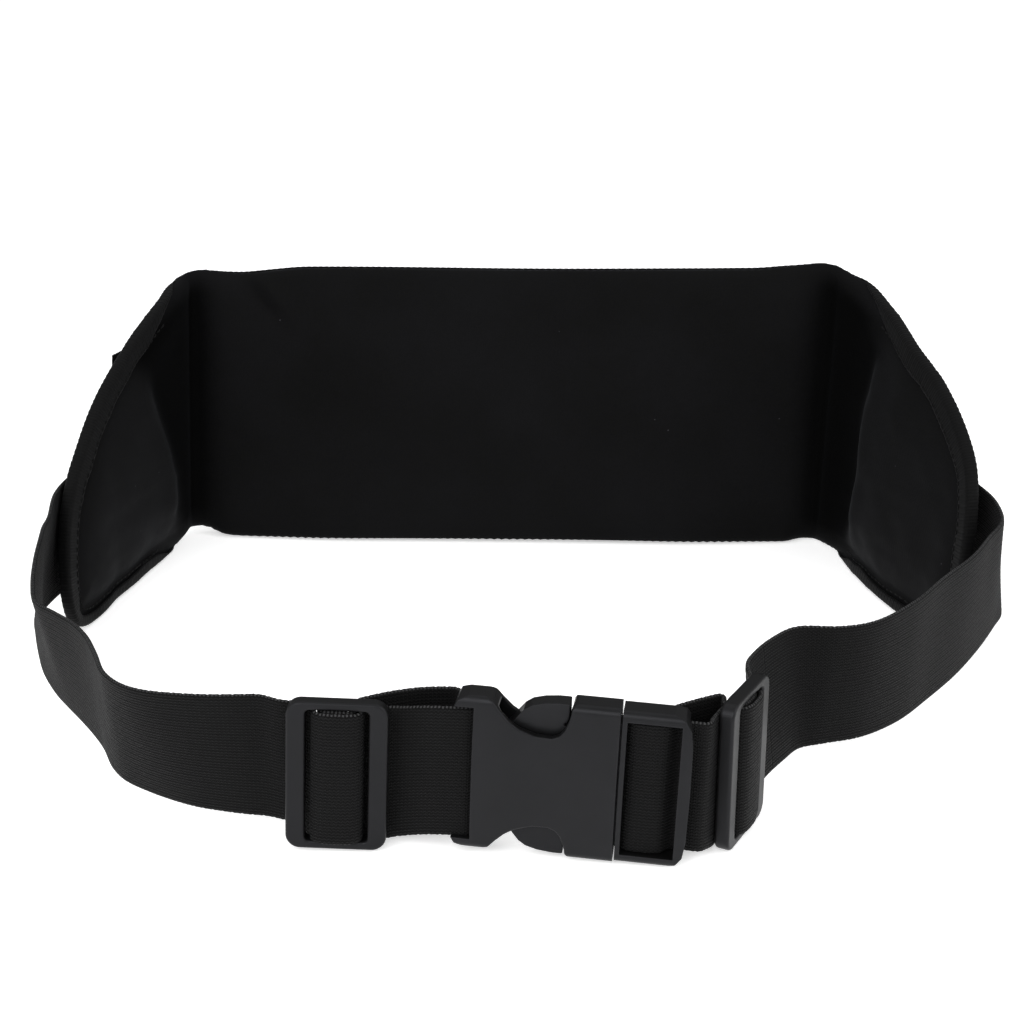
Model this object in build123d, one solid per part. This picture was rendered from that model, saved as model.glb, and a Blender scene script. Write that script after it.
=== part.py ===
from build123d import *
import math
import os

# Money belt: a padded zip pouch worn on the waist, with two elastic straps, two strap
# adjusters and a side release buckle, fastened into a closed loop and standing on its
# lower edge. Millimetres, +Z up, buckle towards -Y, pouch towards +Y, left is -X.

os.makedirs("parts", exist_ok=True)

# ------------------------------------------------------------------ main dimensions
SHIFT_X, SHIFT_Y = -2.4, 1.64  # moves the loop so that the origin is under its middle

POUCH_H = 106.0        # height of the pouch
POUCH_T = 7.0          # whole pouch, body side face to outer face
PANEL_T = 3.0          # padded body side panel
LINING_T = 0.5
OUTER_T = 2.2          # outer panel
BAND_W = 2.2           # width of the edge band round the pouch
CREASE_R = 3.0         # radius of the fold between the middle and a wing

ZIP_Z = 82.0           # height of the zip
COIL_W, COIL_T = 1.9, 1.6

WEB_W, WEB_T = 38.0, 1.6   # elastic webbing
WEB_HALF_T = WEB_T / 2
WEB_GAP = 0.25             # between webbing and what it lies on

STITCH_T, STITCH_W = 0.3, 0.9
STITCH_GAP = 0.06          # between thread and webbing

ADJ_L, ADJ_H, ADJ_T = 27.0, 43.4, 4.2   # strap adjuster
ADJ_WIN_L, ADJ_WIN_H = 16.8, 38.7
ADJ_BAR_L, ADJ_BAR_T = 5.2, 2.4
ADJ_BAR_Y = 0.9        # the middle bar sits off the frame's middle, towards the pouch side

BUCKLE_H = 45.2        # buckle, across the webbing
BUCKLE_T = 12.0        # buckle, front to back
BUCKLE_HALF_H = BUCKLE_H / 2
SOCKET_L = 43.5        # socket body
PLUG_L = 19.2          # part of the plug outside the socket
SOCKET_BAR_R = 1.8     # socket's webbing bar
SOCKET_BAR_X = -SOCKET_L + 3.2
PLUG_BAR_X = 8.2
PLUG_BAR_HALF_L, PLUG_BAR_HALF_T = 3.7, 1.4
SLOT_HALF_H = 19.45    # half height of the openings the webbing passes


# ------------------------------------------------------------------ path tools
def unit(x, y):
    length = math.hypot(x, y) or 1.0
    return x / length, y / length


def blend(a, b, t_a, t_b, t):
    """The point at t on the line through a, reached at t_a, and b, reached at t_b."""
    return tuple(p * (t_b - t) / (t_b - t_a) + q * (t - t_a) / (t_b - t_a) for p, q in zip(a, b))


def curve(points, step):
    """A smooth curve (centripetal Catmull-Rom) through points of any dimension."""
    before = tuple(2 * a - b for a, b in zip(points[0], points[1]))
    after = tuple(2 * a - b for a, b in zip(points[-1], points[-2]))
    padded = [before, *points, after]
    result = []
    for i in range(len(points) - 1):
        p0, p1, p2, p3 = padded[i:i + 4]
        t0 = 0.0
        t1 = math.dist(p0[:2], p1[:2]) ** 0.5
        t2 = t1 + math.dist(p1[:2], p2[:2]) ** 0.5
        t3 = t2 + math.dist(p2[:2], p3[:2]) ** 0.5
        count = max(1, round(math.dist(p1[:2], p2[:2]) / step))
        for k in range(count):
            t = t1 + (t2 - t1) * k / count
            a1 = blend(p0, p1, t0, t1, t)
            a2 = blend(p1, p2, t1, t2, t)
            a3 = blend(p2, p3, t2, t3, t)
            b1 = blend(a1, a2, t0, t2, t)
            b2 = blend(a2, a3, t1, t3, t)
            result.append(blend(b1, b2, t1, t2, t))
    result.append(points[-1])
    return result


def turn(x, y, radius_x, radius_y, start, end, count, power=1.0):
    """An elliptical arc between two angles; a power below 1 makes its corners squarer."""
    points = []
    for k in range(count + 1):
        angle = math.radians(start + (end - start) * k / count)
        c, s = math.cos(angle), math.sin(angle)
        points.append((x + radius_x * math.copysign(abs(c) ** power, c),
                       y + radius_y * math.copysign(abs(s) ** power, s)))
    return points


def flat_bar_turn(*args):
    """Webbing round a flat bar."""
    return turn(*args, power=0.7)


def normals(points):
    """Unit normals to the left of travel."""
    result = []
    for i in range(len(points)):
        a, b = points[max(i - 1, 0)], points[min(i + 1, len(points) - 1)]
        x, y = unit(b[0] - a[0], b[1] - a[1])
        result.append((-y, x))
    return result


def fold(before, corner, after, radius, count=5):
    """Rounds a corner with an arc."""
    ux, uy = unit(before[0] - corner[0], before[1] - corner[1])
    vx, vy = unit(after[0] - corner[0], after[1] - corner[1])
    half = math.acos(ux * vx + uy * vy) / 2
    reach = radius / math.tan(half)
    bx, by = unit(ux + vx, uy + vy)
    cx = corner[0] + bx * radius / math.sin(half)
    cy = corner[1] + by * radius / math.sin(half)
    start = math.atan2(corner[1] + uy * reach - cy, corner[0] + ux * reach - cx)
    end = math.atan2(corner[1] + vy * reach - cy, corner[0] + vx * reach - cx)
    sweep = math.remainder(end - start, math.tau)
    return [(cx + radius * math.cos(start + sweep * k / count),
             cy + radius * math.sin(start + sweep * k / count)) for k in range(count + 1)]


class Frame:
    """A local frame turned about Z by angle, then its +x end drooped by roll.

    x runs along the strap or the pouch's middle, z up. On the buckle and the adjusters
    y points into the loop, called the back here; on the pouch y points outwards.
    """

    def __init__(self, origin, angle, roll=0.0):
        self.origin = origin
        c, s = math.cos(math.radians(angle)), math.sin(math.radians(angle))
        c_roll, s_roll = math.cos(math.radians(roll)), math.sin(math.radians(roll))
        self.x_axis = (c * c_roll, s * c_roll, -s_roll)
        self.y_axis = (-s, c, 0.0)
        self.z_axis = (c * s_roll, s * s_roll, c_roll)

    def point(self, x, y, z):
        return tuple(o + x * a + y * b + z * c for o, a, b, c in
                     zip(self.origin, self.x_axis, self.y_axis, self.z_axis))

    def rows(self, points):
        """Sections of webbing standing across the frame at each (x, y)."""
        return [self.point(x, y, -WEB_W / 2) + self.point(x, y, WEB_W / 2) for x, y in points]

    def location(self):
        x, y, z = self.origin
        return Location(Plane(origin=(x + SHIFT_X, y + SHIFT_Y, z),
                              x_dir=self.x_axis, z_dir=self.z_axis))


HOME = Location((SHIFT_X, SHIFT_Y, 0))
BUCKLE = Frame((27.8, -125.0, 22.9), -8.0, 2.2)    # origin in the middle of the socket's mouth
ADJ_LEFT = Frame((-46.5, -120.3, 22.35), 0.0, 2.5)
ADJ_RIGHT = Frame((62.15, -111.7, 21.75), 62.0)


# ------------------------------------------------------------------ solid tools
def strip(rows, thickness):
    """A band. rows: (x, y, z) of its lower edge and (x, y, z) of its upper edge."""
    middles = [((row[0] + row[3]) / 2, (row[1] + row[4]) / 2) for row in rows]
    wires = []
    for (x0, y0, z0, x1, y1, z1), (nx, ny) in zip(rows, normals(middles)):
        dx, dy = nx * thickness / 2, ny * thickness / 2
        wires.append(Wire.make_polygon([
            Vector(x0 - dx, y0 - dy, z0), Vector(x0 + dx, y0 + dy, z0),
            Vector(x1 + dx, y1 + dy, z1), Vector(x1 - dx, y1 - dy, z1)], close=True))
    return Solid.make_loft(wires, True)


def pull(points, travel):
    """A flat closed polygon pulled along a vector."""
    face = Face(Wire.make_polygon([Vector(*point) for point in points], close=True))
    return Solid.extrude(face, Vector(*travel))


def plate(outline, y0, y1):
    """A closed outline in local x and z, pulled from y0 to y1."""
    return pull([(x, y0, z) for x, z in outline], (0, y1 - y0, 0))


def box(x0, x1, y0, y1, z0, z1):
    return Solid.make_box(x1 - x0, y1 - y0, z1 - z0, Plane(origin=(x0, y0, z0)))


def cylinder(radius, height, origin, axis):
    return Solid.make_cylinder(radius, height, Plane(origin=origin, z_dir=axis))


def mirrored(points):
    """An upper half outline with its lower half added."""
    return points + [(x, -z) for x, z in reversed(points) if z]


def soften(shape, radius, edges):
    """Rounds edges, with a smaller radius, or none, where the shape doesn't take it."""
    for size in (radius, radius * 0.6, radius * 0.35):
        # guards against a radius the kernel can't fillet
        try:
            done = shape.fillet(size, edges)
            if done.is_valid and done.volume > 0.5 * shape.volume:
                return done
        except Exception:
            continue
    return shape


def save(name, shape, place=HOME):
    """Moves a piece into place and writes it; a boolean may give a list of solids."""
    if isinstance(shape, list):
        moved = Compound([place * solid for solid in shape])
    else:
        moved = place * shape
    moved.label = name
    export_step(moved, f"parts/{name}.step")


# ------------------------------------------------------------------ pouch walls
# Body side face in plan, (x, y), from the left wing's tip round to the right wing's tip.
LEFT_WING = [(-154.0, 8.0), (-151.0, 18.0), (-147.3, 30.0), (-143.3, 40.0), (-139.6, 52.0),
             (-135.6, 65.0), (-131.5, 80.0), (-127.0, 95.0), (-123.0, 119.8)]
RIGHT_WING = [(118.5, 112.4), (124.0, 98.0), (130.0, 75.0), (133.5, 60.0), (137.7, 43.0),
              (142.6, 25.0), (145.8, 10.0), (148.0, 0.0)]
# Outline of each wing seen from the side, (y, z), from the fold's top round the tip.
LEFT_OUTLINE = [(128.0, 106.0), (114.0, 105.0), (103.0, 103.0), (95.0, 100.0), (80.0, 94.0),
                (65.0, 86.0), (52.0, 76.0), (40.0, 64.0), (30.0, 51.0), (23.0, 38.0),
                (18.5, 24.0), (19.5, 10.0), (28.0, 2.5), (44.0, 0.0)]
RIGHT_OUTLINE = [(120.0, 106.0), (104.0, 105.5), (88.0, 102.0), (75.0, 97.5), (58.0, 91.0),
                 (43.0, 82.5), (32.0, 73.0), (22.0, 62.0), (14.0, 50.5), (8.0, 38.0),
                 (5.0, 25.0), (6.0, 12.0), (13.0, 3.5), (28.0, 0.0)]
WING_STEP, OUTLINE_STEP = 13, 5
CLEAR_X = 220          # beyond the pouch on either side
CLEAR_Y = 140.0        # beyond the pouch's middle


def body_path():
    """The whole plan curve, and the two ends of its straight middle."""
    left = curve(LEFT_WING, WING_STEP)
    right = curve(RIGHT_WING, WING_STEP)
    left_fold = fold(left[-2], left[-1], right[0], CREASE_R)
    right_fold = fold(left[-1], right[0], right[1], CREASE_R)
    start, end = left_fold[-1], right_fold[0]
    middle = between(start, end, 3)
    return left[:-1] + left_fold + middle + right_fold + right[1:], start, end


def between(a, b, count):
    """Points or sections evenly between two others."""
    return [tuple(p + (q - p) * k / (count + 1) for p, q in zip(a, b))
            for k in range(1, count + 1)]


PATH, MIDDLE_START, MIDDLE_END = body_path()
PATH_NORMALS = normals(PATH)
MIDDLE_L = math.dist(MIDDLE_START, MIDDLE_END)
MIDDLE_X, MIDDLE_Y = unit(MIDDLE_END[0] - MIDDLE_START[0], MIDDLE_END[1] - MIDDLE_START[1])
MIDDLE_ANGLE = math.degrees(math.atan2(MIDDLE_Y, MIDDLE_X))


def wall(depth0, depth1, z0, z1, keep=lambda point: True):
    """A wall along the plan curve, between two distances out from the body side face."""
    kept = [(p, n) for p, n in zip(PATH, PATH_NORMALS) if keep(p)]
    inner = [(x + nx * depth0, y + ny * depth0, z0) for (x, y), (nx, ny) in kept]
    outer = [(x + nx * depth1, y + ny * depth1, z0) for (x, y), (nx, ny) in kept]
    return pull(inner + outer[::-1], (0, 0, z1 - z0))


def side_block(points, inset, x0, x1):
    """The pouch as seen from the side, set in by inset, as a block from x0 to x1."""
    dense = curve(points, OUTLINE_STEP)
    moved = [(y + ny * inset, z + nz * inset) for (y, z), (ny, nz) in zip(dense, normals(dense))]
    top, bottom = POUCH_H - inset, inset
    kept = [p for p in moved if bottom - 1e-6 <= p[1] <= top + 1e-6]
    loop = [(CLEAR_Y, top), (kept[0][0], top), *kept[1:-1], (kept[-1][0], bottom),
            (CLEAR_Y, bottom)]
    return pull([(x0, y, z) for y, z in loop], (x1 - x0, 0, 0))


def clip(solid, inset):
    """Cuts a wall of the pouch to its outline."""
    left = solid & side_block(LEFT_OUTLINE, inset, -CLEAR_X, 0)
    right = solid & side_block(RIGHT_OUTLINE, inset, 0, CLEAR_X)
    return (left + right).clean()


# ------------------------------------------------------------------ pouch panels
PANEL_INSET = BAND_W + 0.15        # panels stop just short of the edge band
LINING_GAP = 0.3                   # between the body side panel and the lining
LINING_MARGIN = 10                 # from the lining's ends to the folds
LINING_Z0, LINING_Z1 = 8, 68
OUTER1 = POUCH_T - 0.1             # outer panel's outer face, just below the band's
OUTER0 = OUTER1 - OUTER_T
ZIP_SLOT = COIL_W + 1.3            # half height of the opening in the outer panel

save("back_panel", clip(wall(0.0, PANEL_T, 0, POUCH_H), PANEL_INSET))

lining = box(LINING_MARGIN, MIDDLE_L - LINING_MARGIN,
             PANEL_T + LINING_GAP, PANEL_T + LINING_GAP + LINING_T, LINING_Z0, LINING_Z1)
save("pocket_lining", lining, Frame((*MIDDLE_START, 0.0), MIDDLE_ANGLE).location())

outer_panel = clip(wall(OUTER0, OUTER1, 0, POUCH_H), PANEL_INSET)
for part, z0, z1 in (("upper", ZIP_Z + ZIP_SLOT, 200), ("lower", -5, ZIP_Z - ZIP_SLOT)):
    save(f"outer_panel_{part}", outer_panel & box(-CLEAR_X, CLEAR_X, -50, 180, z0, z1))

full_wall = wall(0.0, POUCH_T, 0, POUCH_H)
save("edge_band", clip(full_wall, 0.0) - clip(full_wall, BAND_W))

# ------------------------------------------------------------------ zip tapes and coils
TAPE0, TAPE1 = OUTER0 - 0.65, OUTER0 - 0.15
TAPE_GAP, TAPE_REACH = 0.25, 11    # tape's edges, above or below the zip's middle
TAPE_INSET = BAND_W + 1.0
COIL_GAP = 0.05
COIL0 = TAPE1 + COIL_GAP
COIL1 = COIL0 + COIL_T
ZIP_END_LEFT_Y, ZIP_END_RIGHT_Y = 81, 68


def along_zip(point):
    """The zip runs between the folds and a short way on to each wing."""
    x, y = point
    return y > (ZIP_END_LEFT_Y if x < 0 else ZIP_END_RIGHT_Y)


for part, sign in (("upper", 1), ("lower", -1)):
    z0, z1 = sorted((ZIP_Z + sign * TAPE_GAP, ZIP_Z + sign * TAPE_REACH))
    save(f"zip_tape_{part}", clip(wall(TAPE0, TAPE1, z0, z1, along_zip), TAPE_INSET))
    z0, z1 = sorted((ZIP_Z + sign * COIL_GAP, ZIP_Z + sign * COIL_W))
    save(f"zip_coil_{part}", wall(COIL0, COIL1, z0, z1, along_zip))


# ------------------------------------------------------------------ pieces on the wings
def wing_frame(side, y):
    """x of a wing's body side face at y, and the outward normal there."""
    found = None
    for (x0, y0), (x1, y1) in zip(PATH, PATH[1:]):
        on_side = (side == "left") == (x0 < 0)
        if on_side and min(y0, y1) <= y <= max(y0, y1) and abs(y1 - y0) > 0.5:
            tx, ty = unit(x1 - x0, y1 - y0)
            found = (x0 + (y - y0) / (y1 - y0) * (x1 - x0), -ty, tx)
    return found


def wing_row(side, y, depth, z0, z1):
    """An upright section at a distance out from a wing's body side face."""
    x, nx, ny = wing_frame(side, y)
    foot = (x + nx * depth, y + ny * depth)
    return (*foot, z0, *foot, z1)


def wing_strip(side, ys, depth, z0, z1, thickness):
    return strip([wing_row(side, y, depth, z0, z1) for y in ys], thickness)


# crimped end stops and the folded cloth tab at the zip's left end
STOP_T, STOP_HALF_H = 0.8, 2.1
for side, ys in (("left", [84.0, 87.0]), ("right", [75.5, 72.5])):
    save(f"zip_stop_{side}",
         wing_strip(side, ys, COIL1 + 0.5, ZIP_Z - STOP_HALF_H, ZIP_Z + STOP_HALF_H, STOP_T))
save("zip_end_tab",
     wing_strip("left", [70.0, 74.0, 78.0], POUCH_T + 1.25, ZIP_Z - 4.5, ZIP_Z + 6.5, 2.2))

# ------------------------------------------------------------------ zip slider and pull
SLIDER_AT = 14                     # along the straight middle, from the left fold
ZIP = Frame((MIDDLE_START[0] + MIDDLE_X * SLIDER_AT, MIDDLE_START[1] + MIDDLE_Y * SLIDER_AT,
             ZIP_Z), MIDDLE_ANGLE)
SLIDER_Y = POUCH_T + 0.15          # the slider plate's inner face
PIN_Y = SLIDER_Y + 2.1             # middle of the pull's pin and grip
PIN_R, PIN_HALF_H = 0.6, 2.6
ARM_Z = 1.2                        # inner face of each arm of the pull
GRIP_HALF_T, GRIP_HALF_H = 0.7, 3.6


def zip_slider():
    """A plate, two flanges beside the coils and a pierced bridge for the pull."""
    body = box(-5.5, 5.5, SLIDER_Y, SLIDER_Y + 1.1, -4.0, 4.0)
    body = soften(body, 2.2, body.edges().filter_by(Axis.Y))
    near, far = COIL_W + 0.15, COIL_W + 1.1
    upper_flange = box(-4.5, 4.5, TAPE1 + 0.2, SLIDER_Y + 0.2, near, far)
    lower_flange = box(-4.5, 4.5, TAPE1 + 0.2, SLIDER_Y + 0.2, -far, -near)
    bridge = box(-3.0, 3.0, SLIDER_Y + 1.0, SLIDER_Y + 3.6, -0.75, 0.75)
    hole = box(-1.7, 1.7, SLIDER_Y + 1.35, SLIDER_Y + 2.85, -2, 2)
    return body + upper_flange + lower_flange + (bridge - hole)


def zip_pull():
    """A pin through the bridge, two arms and a flat grip, lying along the zip."""
    pin = cylinder(PIN_R, 2 * PIN_HALF_H, (0, PIN_Y, -PIN_HALF_H), (0, 0, 1))
    arm = (-0.6, 6.2, PIN_Y - PIN_R, PIN_Y + PIN_R)
    arms = box(*arm, ARM_Z, PIN_HALF_H) + box(*arm, -PIN_HALF_H, -ARM_Z)
    grip = box(6.0, 24.0, PIN_Y - GRIP_HALF_T, PIN_Y + GRIP_HALF_T, -GRIP_HALF_H, GRIP_HALF_H)
    grip = soften(grip, 2.0, grip.edges().filter_by(Axis.Y))
    grip = grip - box(19.0, 21.4, PIN_Y - 2, PIN_Y + 2, -1.2, 1.2)
    return pin + arms + grip


save("zip_slider", zip_slider(), ZIP.location())
save("zip_pull", zip_pull(), ZIP.location())

# ------------------------------------------------------------------ webbing
# Distances to the webbing's middle line. At an adjuster the sewn end goes round the
# middle bar, and the running strap goes over both.
SEWN_X = ADJ_BAR_L / 2 + WEB_GAP + WEB_HALF_T
SEWN_Y = ADJ_BAR_T / 2 + WEB_GAP + WEB_HALF_T
OVER_X = SEWN_X + WEB_T + WEB_GAP
OVER_Y = SEWN_Y + WEB_T + WEB_GAP
BEHIND = ADJ_T / 2 + 0.3 + WEB_HALF_T           # strap behind the adjuster's frame
SOCKET_TURN_R = SOCKET_BAR_R + WEB_GAP + WEB_HALF_T
PLUG_TURN_X = PLUG_BAR_HALF_L + WEB_GAP + WEB_HALF_T
PLUG_TURN_Y = PLUG_BAR_HALF_T + WEB_GAP + WEB_HALF_T
WEB_DEPTH = POUCH_T + WEB_GAP + WEB_HALF_T      # strap on a wing
FREE_STEP, END_STEP = 6.0, 3.0

# Free run of the left strap from the wing to the adjuster: x, y, z of the lower edge and
# x, y of the upper edge, whose z follows from the webbing's width.
LEFT_FREE = [
    (-159.8, 24.0, 11.8, -158.6, 25.0), (-161.2, 12.0, 10.6, -157.4, 13.0),
    (-158.0, -1.0, 9.3, -152.0, 0.5), (-153.7, -12.5, 7.8, -149.8, -11.0),
    (-148.6, -25.0, 6.3, -148.3, -24.5), (-142.4, -37.5, 5.3, -146.3, -38.5),
    (-136.4, -46.5, 5.0, -142.4, -49.5), (-130.2, -54.8, 5.0, -135.2, -58.0),
    (-124.2, -64.2, 5.0, -128.2, -67.2), (-119.0, -73.5, 5.0, -122.6, -76.5),
    (-113.8, -84.6, 5.0, -117.4, -88.4), (-108.4, -92.6, 5.0, -112.6, -99.2),
    (-101.6, -98.6, 5.0, -106.4, -106.6), (-94.4, -103.0, 5.0, -98.8, -111.2),
    (-87.0, -106.2, 5.0, -90.2, -113.6), (-80.0, -108.6, 4.8, -81.6, -114.6),
    (-73.0, -110.8, 4.5, -73.2, -115.0), (-66.5, -113.4, 4.2, -66.5, -115.2)]
# The left strap's way back from the socket to the adjuster; the same columns.
LEFT_BACK = [(-19.0, -112.4, 4.9, -19.3, -111.4), (-24.0, -111.6, 4.6, -24.3, -110.2),
             (-28.4, -113.2, 4.2, -28.6, -112.2)]
# Free run of the right strap: x, y, z of the lower edge and x, y, z of the upper edge.
RIGHT_FREE = [
    (151.6, 43.5, 15.6, 149.2, 43.5, 55.6), (159.0, 35.5, 14.0, 151.8, 33.0, 55.6),
    (164.6, 26.5, 11.8, 154.4, 22.5, 55.0), (166.0, 17.5, 9.6, 157.2, 12.5, 53.0),
    (160.6, 8.5, 8.2, 157.4, 2.5, 49.8), (151.6, -4.5, 7.0, 151.2, -9.0, 47.6),
    (141.2, -20.6, 6.0, 144.0, -21.5, 45.4), (128.4, -37.6, 5.2, 131.2, -38.6, 43.9),
    (115.6, -53.4, 5.0, 118.4, -54.8, 43.2), (102.6, -63.8, 5.0, 104.6, -66.6, 43.0),
    (92.8, -68.0, 5.0, 95.0, -70.6, 43.0), (84.6, -71.6, 4.9, 84.6, -70.6, 42.9),
    (78.4, -78.0, 4.5, 76.4, -76.6, 42.5), (72.6, -86.6, 3.9, 70.4, -85.4, 41.9),
    (69.2, -93.4, 3.3, 66.8, -92.2, 41.3)]


def over_bar(frame, side):
    """The running strap, behind one rail, over the middle bar and behind the other rail.

    side: +1 travels towards local +x, -1 towards -x.
    """
    start = [(-ADJ_L / 2 - 1.5, BEHIND), (-ADJ_L / 2 + 1.0, BEHIND), (-OVER_X - 1.6, BEHIND),
             (-OVER_X - 0.5, BEHIND - 0.6)]
    end = [(-x, y) for x, y in reversed(start)]
    points = start + flat_bar_turn(0, ADJ_BAR_Y, OVER_X, OVER_Y, 180, 360, 12) + end
    return frame.rows([(side * x, y) for x, y in points])


def sewn_end(frame, side):
    """From behind the frame round the middle bar. side: +1 comes from local +x."""
    points = [(ADJ_L / 2 + 3.0, BEHIND + WEB_T + 0.35), (ADJ_L / 2 - 1.0, BEHIND + WEB_T + 0.3),
              (SEWN_X + 2.2, BEHIND + WEB_T + 0.2), (SEWN_X + 0.35, ADJ_BAR_Y + SEWN_Y + 0.2)]
    points += flat_bar_turn(0, ADJ_BAR_Y, SEWN_X, SEWN_Y, 0, -270, 14)
    points.append((2.2, ADJ_BAR_Y + SEWN_Y))
    return frame.rows([(side * x, y) for x, y in points])


def full_width(x0, y0, z0, x1, y1):
    """A section whose upper edge is the webbing's width away from its lower edge."""
    return (x0, y0, z0, x1, y1, z0 + math.sqrt(WEB_W ** 2 - (x1 - x0) ** 2 - (y1 - y0) ** 2))


def wing_patch(side, ys, z0):
    """The strap's end lying on a wing."""
    return [wing_row(side, y, WEB_DEPTH, z0, z0 + WEB_W) for y in ys]


def web_left():
    """Wing, adjuster, socket's bar and back to the adjuster's middle bar."""
    rows = wing_patch("left", (72.0, 62.0, 52.0), 12.6)
    rows += curve(wing_patch("left", (40.0,), 12.4) + [full_width(*v) for v in LEFT_FREE],
                  FREE_STEP)
    rows += over_bar(ADJ_LEFT, 1)
    rows += BUCKLE.rows(
        [(SOCKET_BAR_X - 9.0, -SOCKET_TURN_R - 0.1), (SOCKET_BAR_X - 4.0, -SOCKET_TURN_R)]
        + turn(SOCKET_BAR_X, 0, SOCKET_TURN_R, SOCKET_TURN_R, -90, 90, 9)
        + [(SOCKET_BAR_X - 2.5, SOCKET_TURN_R + 0.9)])
    rows += curve([full_width(*v) for v in LEFT_BACK], END_STEP)
    rows += sewn_end(ADJ_LEFT, 1)
    return strip(rows, WEB_T)


def web_right():
    """Wing, adjuster, plug's bar and back to the adjuster's middle bar."""
    rows = wing_patch("right", (86.0, 76.0, 66.0), 17.0)
    leaving = wing_row("right", 52.0, WEB_DEPTH, 16.6, 16.6 + WEB_W + 1.0)
    rows += curve([leaving] + RIGHT_FREE, FREE_STEP)
    rows += over_bar(ADJ_RIGHT, -1)[1:]
    bar_end = PLUG_BAR_X + PLUG_TURN_X
    loop = BUCKLE.rows(
        [(22.5, 1.0), (18.0, 0.9), (bar_end + 1.4, 0.9), (bar_end + 0.4, 0.2)]
        + flat_bar_turn(PLUG_BAR_X, 0, PLUG_TURN_X, PLUG_TURN_Y, -20, -270, 12)
        + [(bar_end + 1.0, PLUG_TURN_Y + 0.7), (17.5, 3.2), (20.5, 4.2)])
    back = sewn_end(ADJ_RIGHT, -1)
    rows += between(rows[-1], loop[0], 3) + loop + between(loop[-1], back[0], 2) + back
    return strip(rows, WEB_T)


save("web_left", web_left())
save("web_right", web_right())


# ------------------------------------------------------------------ stitching
def crossed_box(side, y0, y1, z0, z1):
    """A box of thread with a cross, lying on the webbing over a wing; y1 is below y0."""
    depth = POUCH_T + WEB_GAP + WEB_T + STITCH_GAP + STITCH_T / 2
    ys = [y0 + (y1 - y0) * k / 4 for k in range(5)]
    top = z1 - STITCH_W
    rise = [z0 + (top - z0) * k / 4 for k in range(5)]

    def run(zs):
        return strip([wing_row(side, y, depth, z, z + STITCH_W) for y, z in zip(ys, zs)],
                     STITCH_T)

    def post(start, end):
        return wing_strip(side, (start, end), depth, z0, z1, STITCH_T)

    thread = run([z0] * 5) + run([top] * 5)
    thread = thread + post(y0, y0 - STITCH_W) + post(y1 + STITCH_W, y1)
    return thread + run(rise) + run(rise[::-1])


def bar_tack(side):
    """A dense row of thread across the webbing's sewn end; side as for sewn_end."""
    y = ADJ_BAR_Y + SEWN_Y + WEB_HALF_T + STITCH_GAP
    return box(*sorted((side * -0.2, side * 1.4)), y, y + STITCH_T, -15, 15)


save("stitching_left_wing", crossed_box("left", 68.0, 44.0, 15.6, 47.6))
save("stitching_right_wing", crossed_box("right", 82.0, 58.0, 20.0, 52.0))
save("bar_tack_left", bar_tack(1), ADJ_LEFT.location())
save("bar_tack_right", bar_tack(-1), ADJ_RIGHT.location())


# ------------------------------------------------------------------ adjusters
def adjuster():
    """Flat frame with a middle bar, centred on its local frame."""
    body = box(-ADJ_L / 2, ADJ_L / 2, -ADJ_T / 2, ADJ_T / 2, -ADJ_H / 2, ADJ_H / 2)
    body = soften(body, 4.0, body.edges().filter_by(Axis.Y))
    window = box(-ADJ_WIN_L / 2, ADJ_WIN_L / 2, -5, 5, -ADJ_WIN_H / 2, ADJ_WIN_H / 2)
    window = soften(window, 1.2, window.edges().filter_by(Axis.Y))
    body = body - window
    layers = body.edges().group_by(Axis.Y)
    body = soften(body, 1.3, layers[0] + layers[-1])
    bar_half_h = ADJ_WIN_H / 2 + 1.2
    bar = box(-ADJ_BAR_L / 2, ADJ_BAR_L / 2, ADJ_BAR_Y - ADJ_BAR_T / 2,
              ADJ_BAR_Y + ADJ_BAR_T / 2, -bar_half_h, bar_half_h)
    bar = soften(bar, 0.9, bar.edges().filter_by(Axis.Z))
    return body + bar


save("adjuster_left", adjuster(), ADJ_LEFT.location())
save("adjuster_right", adjuster(), ADJ_RIGHT.location())

# ------------------------------------------------------------------ buckle
# Upper half of the socket from the front, (x, z): ear, thumb scoop, mouth.
SOCKET_OUTLINE = [
    (-SOCKET_L, 19.4), (-42.6, 21.2), (-40.0, 22.3), (-35.4, 22.5), (-33.4, 21.6),
    (-31.4, 19.2), (-29.0, 16.7), (-26.2, 14.8), (-21.8, 13.3), (-17.4, 13.1), (-15.6, 13.9),
    (-14.2, 15.6), (-13.3, 18.0), (-12.9, 19.6), (-12.7, 21.2), (-12.2, 22.1),
    (-11.2, BUCKLE_HALF_H), (0.0, BUCKLE_HALF_H)]
CAVITY_X, CAVITY_HALF_T, CAVITY_HALF_H = -33.6, 3.5, 19.8

MOUTH_GAP = 0.5                    # between the socket's mouth and the plug
PLUG_HALF_H = BUCKLE_HALF_H - 0.4
# Upper half of the plug from the front, (x, z).
PLUG_OUTLINE = [
    (MOUTH_GAP, PLUG_HALF_H), (PLUG_L - 5.5, PLUG_HALF_H), (PLUG_L - 2.6, PLUG_HALF_H - 1.0),
    (PLUG_L - 0.9, PLUG_HALF_H - 3.6), (PLUG_L - 0.2, PLUG_HALF_H - 8.6), (PLUG_L, 0.0)]

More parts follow.
